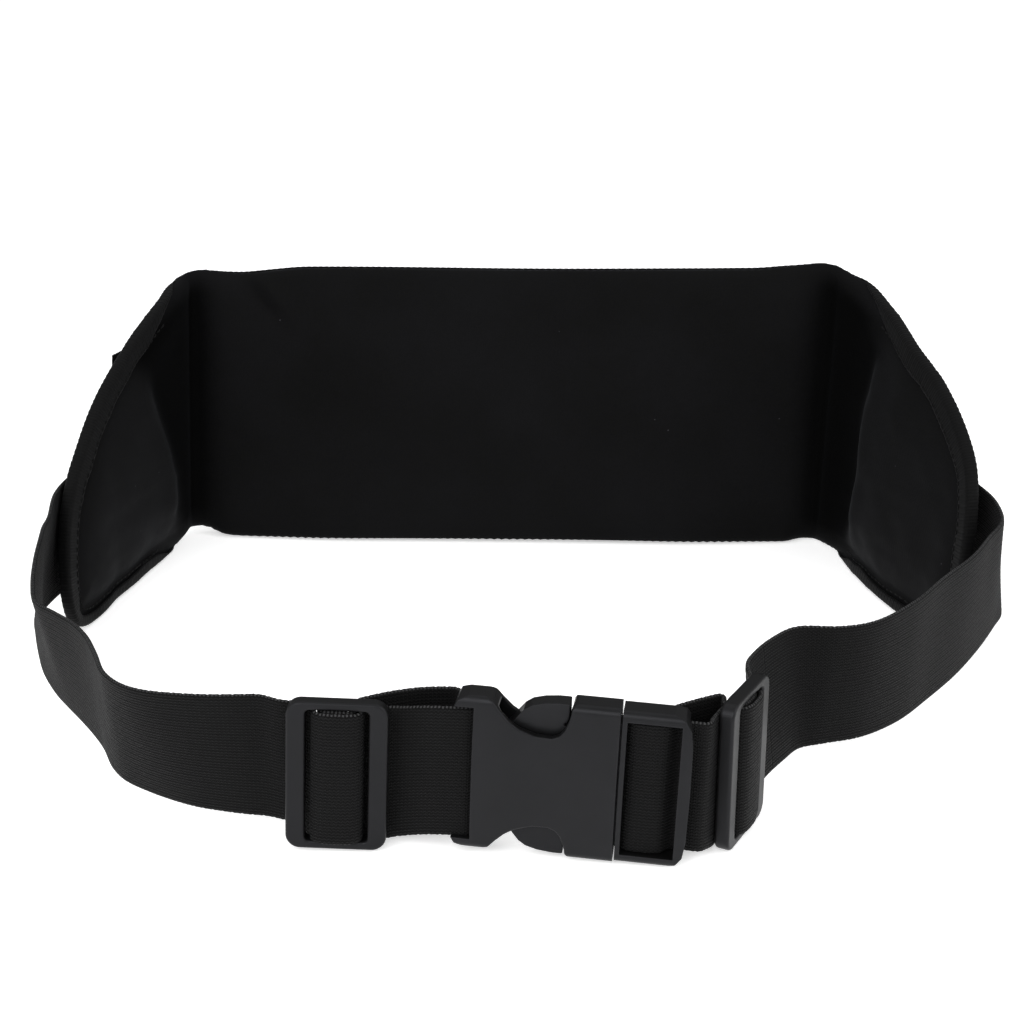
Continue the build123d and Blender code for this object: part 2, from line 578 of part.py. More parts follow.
# The upper prong from the front, (x, z): thin arm, curved thumb face, square shoulder.
PRONG_OUTLINE = [
    (-3.6, 12.2), (-15.0, 12.0), (-23.0, 11.4), (-27.0, 10.6), (-29.6, 10.8), (-30.6, 12.0),
    (-30.2, 13.4), (-28.4, 15.2), (-26.9, 17.4), (-25.4, 19.3), (-23.4, 20.7), (-20.2, 21.6),
    (-16.5, 22.0), (-13.35, 22.0), (-13.35, 18.6), (-13.9, 17.0), (-15.2, 16.0),
    (-13.0, 15.4), (-3.6, 15.8)]
PRONG_HALF_T = 2.6
ROOT_X, ROOT_Z, ROOT_R = -3.6, 14.0, 1.9    # the prong's rounded root
CLEAR = 10                                  # beyond the buckle, front and back


def lens(x0, x1, middle_t, edge_t, half_h, radius):
    """A body whose section across x is thick in the middle and thinner at top and bottom."""
    front = [Vector(x0, -(edge_t / 2 + (middle_t - edge_t) / 2 * (1 - abs(z) ** 2.2)), z * half_h)
             for z in (-1, -0.75, -0.4, 0, 0.4, 0.75, 1)]
    back = [Vector(x0, -point.Y, point.Z) for point in reversed(front)]
    front_edge = Edge.make_spline(front)
    back_edge = Edge.make_spline(back)
    top = Edge.make_line(front_edge @ 1, back_edge @ 0)
    bottom = Edge.make_line(back_edge @ 1, front_edge @ 0)
    face = Face(Wire([front_edge, top, back_edge, bottom]))
    body = Solid.extrude(face, Vector(x1 - x0, 0, 0))
    return soften(body, radius, body.edges().filter_by(Axis.X))


def is_rim(edge):
    """Whether an edge lies where the socket's outline meets its front or back."""
    middle = edge @ 0.5
    return (abs(middle.Y) > 2.5 and -SOCKET_L + 0.6 < middle.X < -0.4
            and abs(middle.Z) > 12.5 and edge.length > 0.4)


def buckle_socket():
    """Hollow body with thumb scoops, a slot for the webbing and a round bar."""
    body = lens(-SOCKET_L, 0.0, BUCKLE_T, BUCKLE_T - 3.6, BUCKLE_HALF_H, 2.4)
    body = body & plate(mirrored(SOCKET_OUTLINE), -CLEAR, CLEAR)
    body = soften(body, 1.1, [edge for edge in body.edges() if is_rim(edge)])
    cavity = box(CAVITY_X, 1.0, -CAVITY_HALF_T, CAVITY_HALF_T, -CAVITY_HALF_H, CAVITY_HALF_H)
    cavity = soften(cavity, 1.4, cavity.edges().filter_by(Axis.X))
    body = body - cavity
    # the slot is open at the back, and at its outer end right through
    body = body - box(-SOCKET_L - 1, -35.2, -4.3, CLEAR, -SLOT_HALF_H, SLOT_HALF_H)
    body = body - box(-SOCKET_L - 1, -38.2, -CLEAR, CLEAR, -SLOT_HALF_H, SLOT_HALF_H)
    body = body + cylinder(SOCKET_BAR_R, 2 * SLOT_HALF_H + 1.6,
                           (SOCKET_BAR_X, 0, -SLOT_HALF_H - 0.8), (0, 0, 1))
    return body.clean()


def buckle_plug():
    """Outer frame, flat webbing bar, guide tongue and the root between the prongs."""
    body = lens(MOUTH_GAP, PLUG_L, BUCKLE_T - 0.4, BUCKLE_T - 3.8, PLUG_HALF_H, 2.2)
    body = body & plate(mirrored(PLUG_OUTLINE), -CLEAR, CLEAR)
    body = body - box(1.8, 16.0, -CLEAR, CLEAR, -SLOT_HALF_H, SLOT_HALF_H)
    # the outer rail lies in front of the strap
    body = body - box(15.0, 30.0, -0.45, CLEAR, -SLOT_HALF_H, SLOT_HALF_H)
    bar = box(PLUG_BAR_X - PLUG_BAR_HALF_L, PLUG_BAR_X + PLUG_BAR_HALF_L,
              -PLUG_BAR_HALF_T, PLUG_BAR_HALF_T, -20.5, 20.5)
    bar = soften(bar, 1.2, bar.edges().filter_by(Axis.Z))
    body = body + bar
    tongue = box(-27.0, MOUTH_GAP + 1.0, -1.7, 1.7, -3.4, 3.4)
    tongue = soften(tongue, 1.6, tongue.edges().filter_by(Axis.Y).group_by(Axis.X)[0])
    root = box(-3.2, MOUTH_GAP + 1.0, -2.6, 2.6, -18.0, 18.0)
    root = soften(root, 1.2, root.edges().filter_by(Axis.Y).group_by(Axis.X)[0])
    body = body + tongue + root
    # seats for the prongs' rounded roots
    for sign in (1, -1):
        body = body - cylinder(ROOT_R + 0.08, 12, (ROOT_X, -6, sign * ROOT_Z), (0, 1, 0))
    return body.clean()


def prong(sign):
    """A spring arm with its catch and rounded root; sign +1 is the upper one."""
    body = plate([(x, sign * z) for x, z in PRONG_OUTLINE], -PRONG_HALF_T, PRONG_HALF_T)
    body = soften(body, 0.8, body.edges().filter_by(Axis.Y))
    body = body + cylinder(ROOT_R, 2 * PRONG_HALF_T, (ROOT_X, -PRONG_HALF_T, sign * ROOT_Z),
                           (0, 1, 0))
    return body.clean()


save("buckle_socket", buckle_socket(), BUCKLE.location())
save("buckle_plug", buckle_plug(), BUCKLE.location())
save("prong_upper", prong(1), BUCKLE.location())
save("prong_lower", prong(-1), BUCKLE.location())
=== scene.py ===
import math

import bmesh
import bpy
import numpy as np
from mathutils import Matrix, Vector


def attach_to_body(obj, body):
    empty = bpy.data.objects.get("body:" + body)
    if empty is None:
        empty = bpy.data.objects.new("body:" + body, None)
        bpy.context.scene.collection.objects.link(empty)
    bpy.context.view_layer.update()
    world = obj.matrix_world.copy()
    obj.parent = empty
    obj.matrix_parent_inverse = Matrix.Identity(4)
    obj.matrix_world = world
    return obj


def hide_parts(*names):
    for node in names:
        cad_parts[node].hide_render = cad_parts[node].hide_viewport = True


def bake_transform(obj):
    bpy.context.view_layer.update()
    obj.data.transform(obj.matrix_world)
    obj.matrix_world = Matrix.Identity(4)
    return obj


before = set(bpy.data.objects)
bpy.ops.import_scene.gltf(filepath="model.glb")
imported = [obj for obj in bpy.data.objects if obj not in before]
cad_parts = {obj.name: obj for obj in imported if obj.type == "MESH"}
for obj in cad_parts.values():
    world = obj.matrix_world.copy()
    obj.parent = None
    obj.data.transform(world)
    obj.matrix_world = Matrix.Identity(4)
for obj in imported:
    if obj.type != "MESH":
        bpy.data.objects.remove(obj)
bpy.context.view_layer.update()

ORIGIN = np.array([-2.4, 1.64, 0.0])    # the working origin in the product's frame
LATTICE = np.random.default_rng(7).random((64, 64))


# ------------------------------------------------------------------ numbers and curves
def metres(points):
    """Working millimetres to the product's frame in metres."""
    return (np.asarray(points, float) + ORIGIN) * 0.001


def unit(vectors):
    return vectors / np.linalg.norm(vectors, axis=-1, keepdims=True)


def left_normal(tangents):
    """Unit normals a quarter turn anticlockwise from 2D tangents."""
    tangents = unit(tangents)
    return np.stack([-tangents[:, 1], tangents[:, 0]], 1)


def between(a, b, t, start, end):
    return (a * (end - t) + b * (t - start)) / (end - start)


def curve(points, step):
    """Centripetal Catmull-Rom curve, its points about a step apart in the first two columns."""
    points = np.asarray(points, float)
    points = np.vstack([2 * points[0] - points[1], points, 2 * points[-1] - points[-2]])
    found = []
    for i in range(1, len(points) - 2):
        near = points[i - 1:i + 3]
        gaps = [math.dist(a[:2], b[:2]) for a, b in zip(near, near[1:])]
        knots = np.cumsum([0.0] + [max(gap, 1e-6) ** 0.5 for gap in gaps])
        count = max(1, round(gaps[1] / step))
        for k in range(count):
            t = knots[1] + (knots[2] - knots[1]) * k / count
            a, b, c = (between(near[j], near[j + 1], t, knots[j], knots[j + 1])
                       for j in range(3))
            before = between(a, b, t, knots[0], knots[2])
            after = between(b, c, t, knots[1], knots[3])
            found.append(between(before, after, t, knots[1], knots[2]))
    found.append(points[-2])
    return np.array(found)


def resample(points, step):
    """Even spacing along a polyline, measured in its first two columns; also the distances."""
    lengths = np.linalg.norm(np.diff(points[:, :2], axis=0), axis=1)
    reached = np.concatenate([[0], np.cumsum(lengths)])
    count = max(2, int(round(reached[-1] / step)) + 1)
    wanted = np.linspace(0, reached[-1], count)
    return np.stack([np.interp(wanted, reached, column) for column in points.T], 1), wanted


def smooth(rows, reach):
    """Weighted moving average down each column, with the ends held."""
    weights = np.hanning(2 * reach + 3)[1:-1]
    weights /= weights.sum()
    padded = np.pad(rows, ((reach, reach), (0, 0)), mode="edge")
    return np.stack([np.convolve(column, weights, "valid") for column in padded.T], 1)


def rounded_corner(before, corner, after, radius, steps=10):
    """Arc that rounds off the corner between two straight runs."""
    to_before, to_after = unit(before - corner), unit(after - corner)
    half = math.acos(np.clip(to_before @ to_after, -1, 1)) / 2
    centre = corner + unit(to_before + to_after) * radius / math.sin(half)
    reach = radius / math.tan(half)
    first = math.atan2(*(corner + to_before * reach - centre)[::-1])
    last = math.atan2(*(corner + to_after * reach - centre)[::-1])
    turn = (last - first + math.pi) % (2 * math.pi) - math.pi
    angles = first + turn * np.linspace(0, 1, steps + 1)
    return centre + radius * np.stack([np.cos(angles), np.sin(angles)], 1)


def ease(x, start, end):
    """0 up to start, 1 from end on, with a smooth rise between."""
    t = np.clip((x - start) / (end - start), 0, 1)
    return t * t * (3 - 2 * t)


def bell(x, centre, width):
    return np.exp(-((x - centre) / width) ** 2)


def approach(x, length):
    """Rises from 0 towards 1, most of the way within a length or two."""
    return 1 - np.exp(-x / length)


def cosine_steps(count):
    """0 to 1 in steps that are finer at both ends."""
    return 0.5 - 0.5 * np.cos(np.linspace(0, np.pi, count))


def value_noise(x, y, seed):
    """Smooth value noise, -1 to 1, one cell per unit."""
    x = x + 17.3 * seed + 100
    y = y + 9.1 * seed + 100
    column, row = np.floor(x).astype(int), np.floor(y).astype(int)
    x, y = x - column, y - row
    x, y = x * x * (3 - 2 * x), y * y * (3 - 2 * y)

    def corner(i, j):
        return LATTICE[(column + i) % 64, (row + j) % 64]

    low = corner(0, 0) * (1 - x) + corner(1, 0) * x
    high = corner(0, 1) * (1 - x) + corner(1, 1) * x
    return (low * (1 - y) + high * y) * 2 - 1


def ripples(x, y, *waves):
    """Sum of noises, each wave given as (amount, cell in x, cell in y, seed)."""
    return sum(amount * value_noise(x / cell_x, y / cell_y, seed)
               for amount, cell_x, cell_y, seed in waves)


# ------------------------------------------------------------------ mesh builders
def add_mesh(name, vertices, faces, material, uv=None):
    """Smooth mesh from vertices in metres and face arrays, each with one number of corners."""
    mesh = bpy.data.meshes.new(name)
    vertices = np.asarray(vertices, np.float32).reshape(-1, 3)
    corners = np.concatenate([group.ravel() for group in faces]).astype(np.int32)
    sizes = np.concatenate([np.full(len(group), group.shape[1]) for group in faces])
    starts = np.concatenate([[0], np.cumsum(sizes)[:-1]]).astype(np.int32)
    mesh.vertices.add(len(vertices))
    mesh.vertices.foreach_set("co", vertices.ravel())
    mesh.loops.add(len(corners))
    mesh.loops.foreach_set("vertex_index", corners)
    mesh.polygons.add(len(starts))
    mesh.polygons.foreach_set("loop_start", starts)
    mesh.polygons.foreach_set("use_smooth", np.full(len(starts), True))
    mesh.update(calc_edges=True)
    if uv is not None:
        layer = mesh.uv_layers.new(name="st")
        uv = np.asarray(uv, np.float32).reshape(-1, 2)
        layer.data.foreach_set("uv", uv[corners].ravel())
    mesh.validate()
    mesh.update()
    piece = bpy.data.objects.new(name, mesh)
    bpy.context.scene.collection.objects.link(piece)
    mesh.materials.append(material)

    turned = bmesh.new()
    turned.from_mesh(mesh)
    bmesh.ops.recalc_face_normals(turned, faces=turned.faces)
    turned.to_mesh(mesh)
    turned.free()
    mesh.update()
    return piece


def add_tube(name, rings, material, uv=None, closed=False):
    """Tube over rings of shape (stations, points, 3); an open one is capped by quad strips."""
    count, around, _ = rings.shape
    station = np.arange(count if closed else count - 1)[:, None]
    point = np.arange(around)[None, :]
    here, ahead = station * around, (station + 1) % count * around
    beside = (point + 1) % around
    quads = np.stack([here + point, here + beside, ahead + beside, ahead + point], -1)
    faces = [quads.reshape(-1, 4)]
    if not closed:
        k = np.arange(around // 2 - 1)
        strip = np.stack([k, k + 1, around - 2 - k, around - 1 - k], 1)
        faces += [strip[:, ::-1], (count - 1) * around + strip]
    return add_mesh(name, rings, faces, material, uv)


def there_and_back(first, second):
    """Rings that run across one face and return across the other."""
    return np.concatenate([first, second[:, ::-1]], 1)


def add_sheet(name, first, second, material, uv=None):
    """Thin solid between two grids of points that face each other."""
    if uv is not None:
        uv = there_and_back(uv, uv)
    return add_tube(name, there_and_back(first, second), material, uv)


def circles(centres, side, up, radius, count=6):
    """A ring of points round each centre; the radius is in metres."""
    angles = 2 * np.pi * np.arange(count) / count
    return np.stack([centres + (side * math.cos(a) + up * math.sin(a)) * radius
                     for a in angles], 1)


def attach(piece, slot, body, *nodes):
    if nodes:
        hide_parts(*nodes)
    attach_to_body(piece, body)


# ------------------------------------------------------------------ materials
class Graph:
    """Short calls that add shader nodes; apart from node, each returns its output."""

    def __init__(self, tree):
        self.tree = tree

    def node(self, kind, inputs=None, **settings):
        node = self.tree.nodes.new("ShaderNode" + kind)
        for key, value in settings.items():
            setattr(node, key, value)
        self.feed(node, inputs or {})
        return node

    def feed(self, node, inputs):
        """Link each input to an output, or set it to a plain value."""
        for key, value in inputs.items():
            if isinstance(value, bpy.types.NodeSocket):
                self.tree.links.new(value, node.inputs[key])
            else:
                node.inputs[key].default_value = value

    def math(self, operation, *values, clamp=False):
        inputs = dict(enumerate(values))
        return self.node("Math", inputs, operation=operation, use_clamp=clamp).outputs[0]

    def add(self, a, b):
        return self.math("ADD", a, b)

    def subtract(self, a, b):
        return self.math("SUBTRACT", a, b)

    def times(self, a, b):
        return self.math("MULTIPLY", a, b)

    def times_add(self, value, factor, extra):
        return self.math("MULTIPLY_ADD", value, factor, extra)

    def coordinates(self, kind="Object"):
        return self.node("TexCoord").outputs[kind]

    def split(self, vector):
        return self.node("SeparateXYZ", {0: vector}).outputs

    def uv(self):
        parts = self.split(self.node("UVMap", uv_map="st").outputs[0])
        return parts[0], parts[1]

    def noise(self, vector, scale, detail=2.0, roughness=0.5):
        inputs = {"Vector": vector, "Scale": scale, "Detail": detail, "Roughness": roughness}
        return self.node("TexNoise", inputs).outputs["Fac"]

    def ramp(self, factor, *stops):
        """Two stops, each a position and a colour."""
        node = self.node("ValToRGB", {0: factor})
        for element, (position, colour) in zip(node.color_ramp.elements, stops):
            element.position = position
            element.color = colour
        return node.outputs[0]

    def map_range(self, value, source, target):
        return self.node("MapRange", dict(enumerate((value, *source, *target)))).outputs[0]

    def mix(self, factor, first, second):
        return self.node("Mix", {0: factor, 6: first, 7: second}, data_type="RGBA").outputs[2]

    def bump(self, height, strength, distance, normal=None):
        inputs = {"Strength": strength, "Distance": distance, "Height": height}
        if normal is not None:
            inputs["Normal"] = normal
        return self.node("Bump", inputs).outputs[0]

    def bevel(self, radius, samples):
        return self.node("Bevel", {"Radius": radius}, samples=samples).outputs[0]

    def stretch(self, vector, scale):
        return self.node("Mapping", {"Scale": scale, "Vector": vector}).outputs[0]

    def wave(self, length, pitch):
        """Sine of a length in metres, from 0 to 1."""
        angle = self.times(length, 2 * math.pi / pitch)
        angle = self.add(angle, 0.0)    # no phase shift
        return self.times_add(self.math("SINE", angle), 0.5, 0.5)


def new_material(name):
    material = bpy.data.materials.new(name)
    material.use_nodes = True
    tree = material.node_tree
    tree.nodes.clear()
    output = tree.nodes.new("ShaderNodeOutputMaterial")
    shader = tree.nodes.new("ShaderNodeBsdfPrincipled")
    tree.links.new(shader.outputs[0], output.inputs[0])
    return material, Graph(tree), shader


def grey(value, blue=1.0):
    """Opaque grey, its blue part scaled."""
    return (value, value, value * blue, 1)


CLOTH_SHEEN_TINT = (0.5, 0.5, 0.52, 1)


def knit_material(name, low, high, roughness, specular, sheen):
    """Fine knit with rare pale specks; a per-point attribute paints shade into the folds,
    darkening the colour and dulling the sheen and specular there.
    """
    material, graph, shader = new_material(name)
    place = graph.coordinates()
    broad = graph.noise(place, scale=28.0, detail=3.0)
    mottle = graph.noise(place, scale=240.0)
    tone = graph.times_add(mottle, 0.35, graph.times(broad, 0.65))
    colour = graph.ramp(tone, (0.3, low), (0.7, high))

    # specks: the hearts of one cell in ten
    cells = graph.node("TexVoronoi", {"Scale": 190.0, "Vector": place})
    near = graph.math("LESS_THAN", cells.outputs["Distance"], 0.045)
    pick = graph.node("SeparateColor", {0: cells.outputs["Color"]})
    rare = graph.math("GREATER_THAN", pick.outputs[0], 0.9)
    speck = graph.times(graph.times(near, rare), 0.35)
    colour = graph.mix(speck, colour, (0.10, 0.10, 0.11, 1))

    # painted shade: the folds beside the creases get a darker colour and less sheen and specular
    fold_shade_amount = graph.node("Attribute", attribute_name="painted_fold_shade").outputs["Fac"]
    unshaded = graph.subtract(1.0, fold_shade_amount)
    fold_shade_colour = (*(part * 0.7 for part in low[:3]), 1)

    # knit columns and courses over a soft unevenness
    x, y, z = graph.split(place)
    columns = graph.wave(graph.add(x, y), pitch=0.00075)
    stitches = graph.times(columns, graph.wave(z, pitch=0.0006))
    fuzz = graph.noise(place, scale=900.0)
    height = graph.add(graph.times(stitches, 0.6), graph.times(fuzz, 0.7))
    uneven = graph.noise(place, scale=60.0, detail=3.0)
    soft = graph.bump(uneven, strength=0.25, distance=0.0009)
    graph.feed(shader, {
        "Base Color": graph.mix(unshaded, fold_shade_colour, colour),
        "Roughness": graph.map_range(mottle, source=(0.2, 0.8),
                                     target=(roughness - 0.06, roughness + 0.08)),
        "Specular IOR Level": graph.times(unshaded, specular),
        "Sheen Weight": graph.times_add(unshaded, sheen * 0.62, sheen * 0.38),
        "Sheen Roughness": 0.45,
        "Sheen Tint": (0.30, 0.31, 0.34, 1),
        "Normal": graph.bump(height, strength=0.35, distance=0.00012, normal=soft),
    })
    return material


def woven_material(name, low, high, pitch, roughness, specular, sheen):
    """Plain weave from object coordinates; the pitch is in metres."""
    material, graph, shader = new_material(name)
    place = graph.coordinates()
    x, y, z = graph.split(place)
    level = graph.add(x, y)
    warp, weft = graph.wave(level, pitch), graph.wave(z, pitch)
    slow_warp, slow_weft = graph.wave(level, pitch * 2), graph.wave(z, pitch * 2)
    checks = graph.times(graph.subtract(slow_warp, 0.5), graph.subtract(slow_weft, 0.5))
    over = graph.math("GREATER_THAN", checks, 0.0)
    height = graph.add(graph.times(warp, over),
                       graph.times(weft, graph.subtract(1.0, over)))
    broad = graph.noise(place, scale=35.0, detail=3.0)
    tone = graph.add(graph.times(height, 0.5), graph.times(broad, 0.5))
    soft = graph.bump(broad, strength=0.3, distance=0.001)
    graph.feed(shader, {
        "Base Color": graph.ramp(tone, (0.25, low), (0.75, high)),
        "Roughness": graph.map_range(broad, source=(0.2, 0.8),
                                     target=(roughness - 0.05, roughness + 0.1)),
        "Specular IOR Level": specular,
        "Sheen Weight": sheen,
        "Normal": graph.bump(height, strength=0.5, distance=0.00012, normal=soft),
    })
    return material


def webbing_material(name, low, high, edge):
    """Elastic webbing: lengthwise ribs, each a fine zigzag. UV in metres: along, across."""
    width, ribs = 0.038, 42
    zigzag_length = 0.00058
    material, graph, shader = new_material(name)
    along, across = graph.uv()
    place = graph.coordinates()
    swing = graph.math("PINGPONG", along, zigzag_length)
    row = graph.wave(graph.add(across, graph.times(swing, 1.0)), width / ribs)
    rib = graph.wave(across, width / ribs)
    zigzag = graph.math("POWER", row, 1.6)
    cross = graph.wave(along, zigzag_length)
    broad = graph.noise(place, scale=45.0, detail=3.0)
    fibre = graph.noise(graph.stretch(place, (1, 1, 6)), scale=700.0)
    tone = graph.add(graph.times(zigzag, 0.62),
                     graph.add(graph.times(broad, 0.18), graph.times(fibre, 0.2)))
    colour = graph.ramp(tone, (0.15, low), (0.75, high))

    # dotted threads along both edges
    from_middle = graph.math("ABSOLUTE", graph.subtract(across, width / 2))
    at_edge = graph.math("GREATER_THAN", from_middle, 0.01865)
    dots = graph.math("GREATER_THAN", graph.wave(along, pitch=0.001), 0.5)
    dotted = graph.times(graph.times(at_edge, dots), 0.8)

    height = graph.add(graph.times(zigzag, graph.times_add(rib, 0.7, 0.3)),
                       graph.times(cross, 0.3))
    height = graph.add(height, graph.times(fibre, 0.35))
    ribbed = graph.bump(rib, strength=0.6, distance=0.00022)
    graph.feed(shader, {
        "Base Color": graph.mix(dotted, colour, edge),
        "Roughness": graph.map_range(fibre, source=(0.2, 0.8), target=(0.58, 0.82)),
        "Specular IOR Level": 0.09,
        "Sheen Weight": 0.035,
        "Sheen Roughness": 0.4,
        "Sheen Tint": CLOTH_SHEEN_TINT,
        "Normal": graph.bump(height, strength=0.75, distance=0.00022, normal=ribbed),
    })
    return material


def band_material(name, low, high):
    """Binding tape with ribs across it. UV in metres: along, across."""
    material, graph, shader = new_material(name)
    along, across = graph.uv()
    place = graph.coordinates()
    rib = graph.wave(along, pitch=0.0011)
    fine = graph.wave(graph.add(along, across), pitch=0.0007)
    broad = graph.noise(place, scale=60.0, detail=3.0)
    tone = graph.add(graph.times(rib, 0.5),
                     graph.add(graph.times(fine, 0.2), graph.times(broad, 0.3)))
    ribbed = graph.bump(rib, strength=0.5, distance=0.00014)
    graph.feed(shader, {
        "Base Color": graph.ramp(tone, (0.2, low), (0.8, high)),
        "Roughness": graph.map_range(broad, source=(0.2, 0.8), target=(0.6, 0.8)),
        "Specular IOR Level": 0.08,
        "Sheen Weight": 0.04,
        "Sheen Tint": CLOTH_SHEEN_TINT,
        "Normal": graph.bump(fine, strength=0.4, distance=0.0001, normal=ribbed),
    })
    return material


def plastic_material(name, low, high, roughness, grain, bevel):
    """Moulded nylon: fine grain, paler edges that are partly real wear and partly a painted
    highlight. The bevel is in metres.
    """
    material, graph, shader = new_material(name)
    place = graph.coordinates()
    broad = graph.noise(place, scale=70.0, detail=4.0, roughness=0.6)
    fine = graph.noise(place, scale=grain)

    # paler edges: real wear where the surface is pointed, and a painted highlight where a wide
    # bevel turns from the true normal
    geometry = graph.node("NewGeometry")
    pointed = graph.map_range(geometry.outputs["Pointiness"],
                              source=(0.51, 0.60), target=(0.0, 1.0))
    patch = graph.map_range(graph.noise(place, scale=380.0, detail=3.0),
                            source=(0.45, 0.75), target=(0.25, 1.0))
    facing = graph.node("VectorMath", {0: graph.bevel(0.0008, samples=6),
                                       1: geometry.outputs["True Normal"]},
                        operation="DOT_PRODUCT")
    edge = graph.map_range(facing.outputs["Value"], source=(0.965, 0.84), target=(0.0, 1.0))
    wear_and_edge_highlight = graph.math("MAXIMUM", graph.times(pointed, 0.12), edge)
    # painted highlight on bevelled edges mixed with real wear at pointed spots
    worn = graph.math("MULTIPLY", graph.times(wear_and_edge_highlight, patch), 0.6, clamp=True)
    pale = (high[0] * 4.5, high[1] * 4.5, high[2] * 4.7, 1)

    streaks = graph.noise(graph.stretch(place, (3.0, 3.0, 40.0)), scale=90.0, detail=3.0)
    streaked = graph.bump(streaks, strength=0.05, distance=0.0004,
                          normal=graph.bevel(bevel, samples=6))
    graph.feed(shader, {
        "Base Color": graph.mix(worn, graph.ramp(broad, (0.3, low), (0.7, high)), pale),
        "Roughness": graph.map_range(broad, source=(0.25, 0.75),
                                     target=(roughness - 0.05, roughness + 0.07)),
        "Specular IOR Level": 0.195,
        "Specular Tint": (0.92, 0.93, 1.0, 1),
        "Normal": graph.bump(fine, strength=0.16, distance=0.00008, normal=streaked),
    })
    return material


def metal_material(name):
    """Dark painted metal, paler where pointed edges have worn."""
    material, graph, shader = new_material(name)
    mottle = graph.noise(graph.coordinates(), scale=400.0, detail=4.0, roughness=0.6)
    pointed = graph.map_range(graph.node("NewGeometry").outputs["Pointiness"],
                              source=(0.53, 0.62), target=(0.0, 1.0))
    patch = graph.map_range(mottle, source=(0.45, 0.75), target=(0.0, 0.4))
    paint = graph.ramp(mottle, (0.3, (0.009, 0.009, 0.0095, 1)),
                       (0.7, (0.013, 0.013, 0.014, 1)))
    graph.feed(shader, {
        "Base Color": graph.mix(graph.times(pointed, patch), paint, (0.1, 0.1, 0.105, 1)),
        "Roughness": graph.map_range(mottle, source=(0.3, 0.7), target=(0.28, 0.42)),
        "Metallic": 0.35,
        "Normal": graph.bump(mottle, strength=0.1, distance=0.0001,
                             normal=graph.bevel(0.0003, samples=4)),
    })
    return material


pad_knit = knit_material("pad_knit", low=grey(0.0027), high=grey(0.0044, blue=1.1),
                         roughness=0.8, specular=0.05, sheen=0.072)
lining_weave = woven_material("lining_weave", low=grey(0.01), high=grey(0.02), pitch=0.0006,
                              roughness=0.6, specular=0.3, sheen=0.1)
shell_weave = woven_material("shell_weave", low=grey(0.0032), high=grey(0.0085, blue=1.05),
                             pitch=0.0008, roughness=0.62, specular=0.12, sheen=0.035)
band_rib = band_material("band_rib", low=grey(0.0012), high=grey(0.0030, blue=1.05))
tape_twill = woven_material("tape_twill", low=grey(0.003), high=grey(0.007), pitch=0.0009,
                            roughness=0.6, specular=0.15, sheen=0.05)
elastic = webbing_material("elastic_webbing", low=grey(0.0011),
                           high=grey(0.0056, blue=1.03), edge=(0.045, 0.045, 0.046, 1))
sewing_thread = woven_material("sewing_thread", low=grey(0.0022), high=grey(0.005),
                               pitch=0.0004, roughness=0.65, specular=0.1, sheen=0.02)
nylon = plastic_material("moulded_nylon", low=grey(0.0036), high=grey(0.0054, blue=1.06),
                         roughness=0.38, grain=2600.0, bevel=0.0006)
coil_nylon = plastic_material("zip_coil", low=grey(0.006), high=grey(0.009),
                              roughness=0.35, grain=3000.0, bevel=0.0001)
zip_paint = metal_material("zip_paint")

# ------------------------------------------------------------------ the pouch's path in plan
POUCH_HEIGHT, POUCH_DEPTH = 106.0, 7.0
ZIP_Z = 82.0
FOLD_RADIUS = 3.0

# x, y of each wing's body side: left from tip to fold, right from fold to tip
LEFT_WING = [
    (-154.0, 8.0), (-151.5, 18.0), (-148.4, 30.0), (-144.6, 40.0), (-140.9, 52.0),
    (-136.4, 65.0), (-132.2, 80.0), (-127.9, 95.0), (-123.0, 119.8)]
RIGHT_WING = [
    (118.5, 112.4), (126.0, 98.0), (130.9, 77.0), (134.4, 60.0), (140.0, 43.0),
    (146.3, 25.0), (148.8, 12.0), (150.4, 0.0)]

# y, z of each wing's outline, from the top near the fold, round the tip, to the bottom
LEFT_OUTLINE = [
    (128.0, 105.6), (112.0, 103.9), (103.0, 103.0), (95.0, 100.8), (80.0, 94.5),
    (65.0, 86.5), (52.0, 76.5), (40.0, 64.5), (30.0, 51.0), (23.0, 38.0), (18.5, 24.0),
    (17.5, 12.0), (20.5, 4.0), (28.0, 0.6), (44.0, 0.0)]
RIGHT_OUTLINE = [
    (120.0, 109.0), (104.0, 106.5), (88.0, 101.4), (75.0, 97.5), (60.0, 92.0),
    (43.0, 84.5), (33.0, 78.0), (25.0, 71.5), (14.0, 62.0), (8.0, 50.0), (5.0, 36.0),
    (4.5, 25.0), (6.0, 12.0), (13.0, 3.5), (28.0, 0.0)]

# distance along the path past the left fold, height of the top edge
TOP_EDGE = np.array([
    (-12, 103.4), (-5, 104.9), (0, 106.1), (5, 106.0), (13, 104.9), (21, 104.2),
    (30, 105.1), (43, 106.3), (120, 106.4), (195, 106.6), (216, 106.9), (228, 108.5),
    (237, 109.9), (250, 109.0)])

# y on a wing, how far the top edge stands to the right of the bottom edge
LEFT_FLARE = [
    (8, -6.0), (18, -5.7), (30, -3.8), (40, -1.0), (52, 2.0), (65, 4.2), (80, 6.0),
    (95, 7.2), (112, 5.4)]
RIGHT_FLARE = [
    (112, 2.2), (98, 4.5), (78, 8.0), (60, 8.6), (43, 11.0), (25, 11.0), (10, 11.0),
    (0, 11.0)]

left, right = curve(LEFT_WING, 3), curve(RIGHT_WING, 3)
left_arc = rounded_corner(left[-2], left[-1], right[0], FOLD_RADIUS)
right_arc = rounded_corner(left[-1], right[0], right[1], FOLD_RADIUS)
PATH, PATH_ALONG = resample(
    np.concatenate([left[:-1], left_arc, right_arc, right[1:]]), 0.5)
PATH_NORMAL = left_normal(smooth(np.gradient(PATH, axis=0), 3))
LEFT_FOLD, RIGHT_FOLD = (
    PATH_ALONG[np.argmin(np.linalg.norm(PATH - arc[5], axis=1))]
    for arc in (left_arc, right_arc))


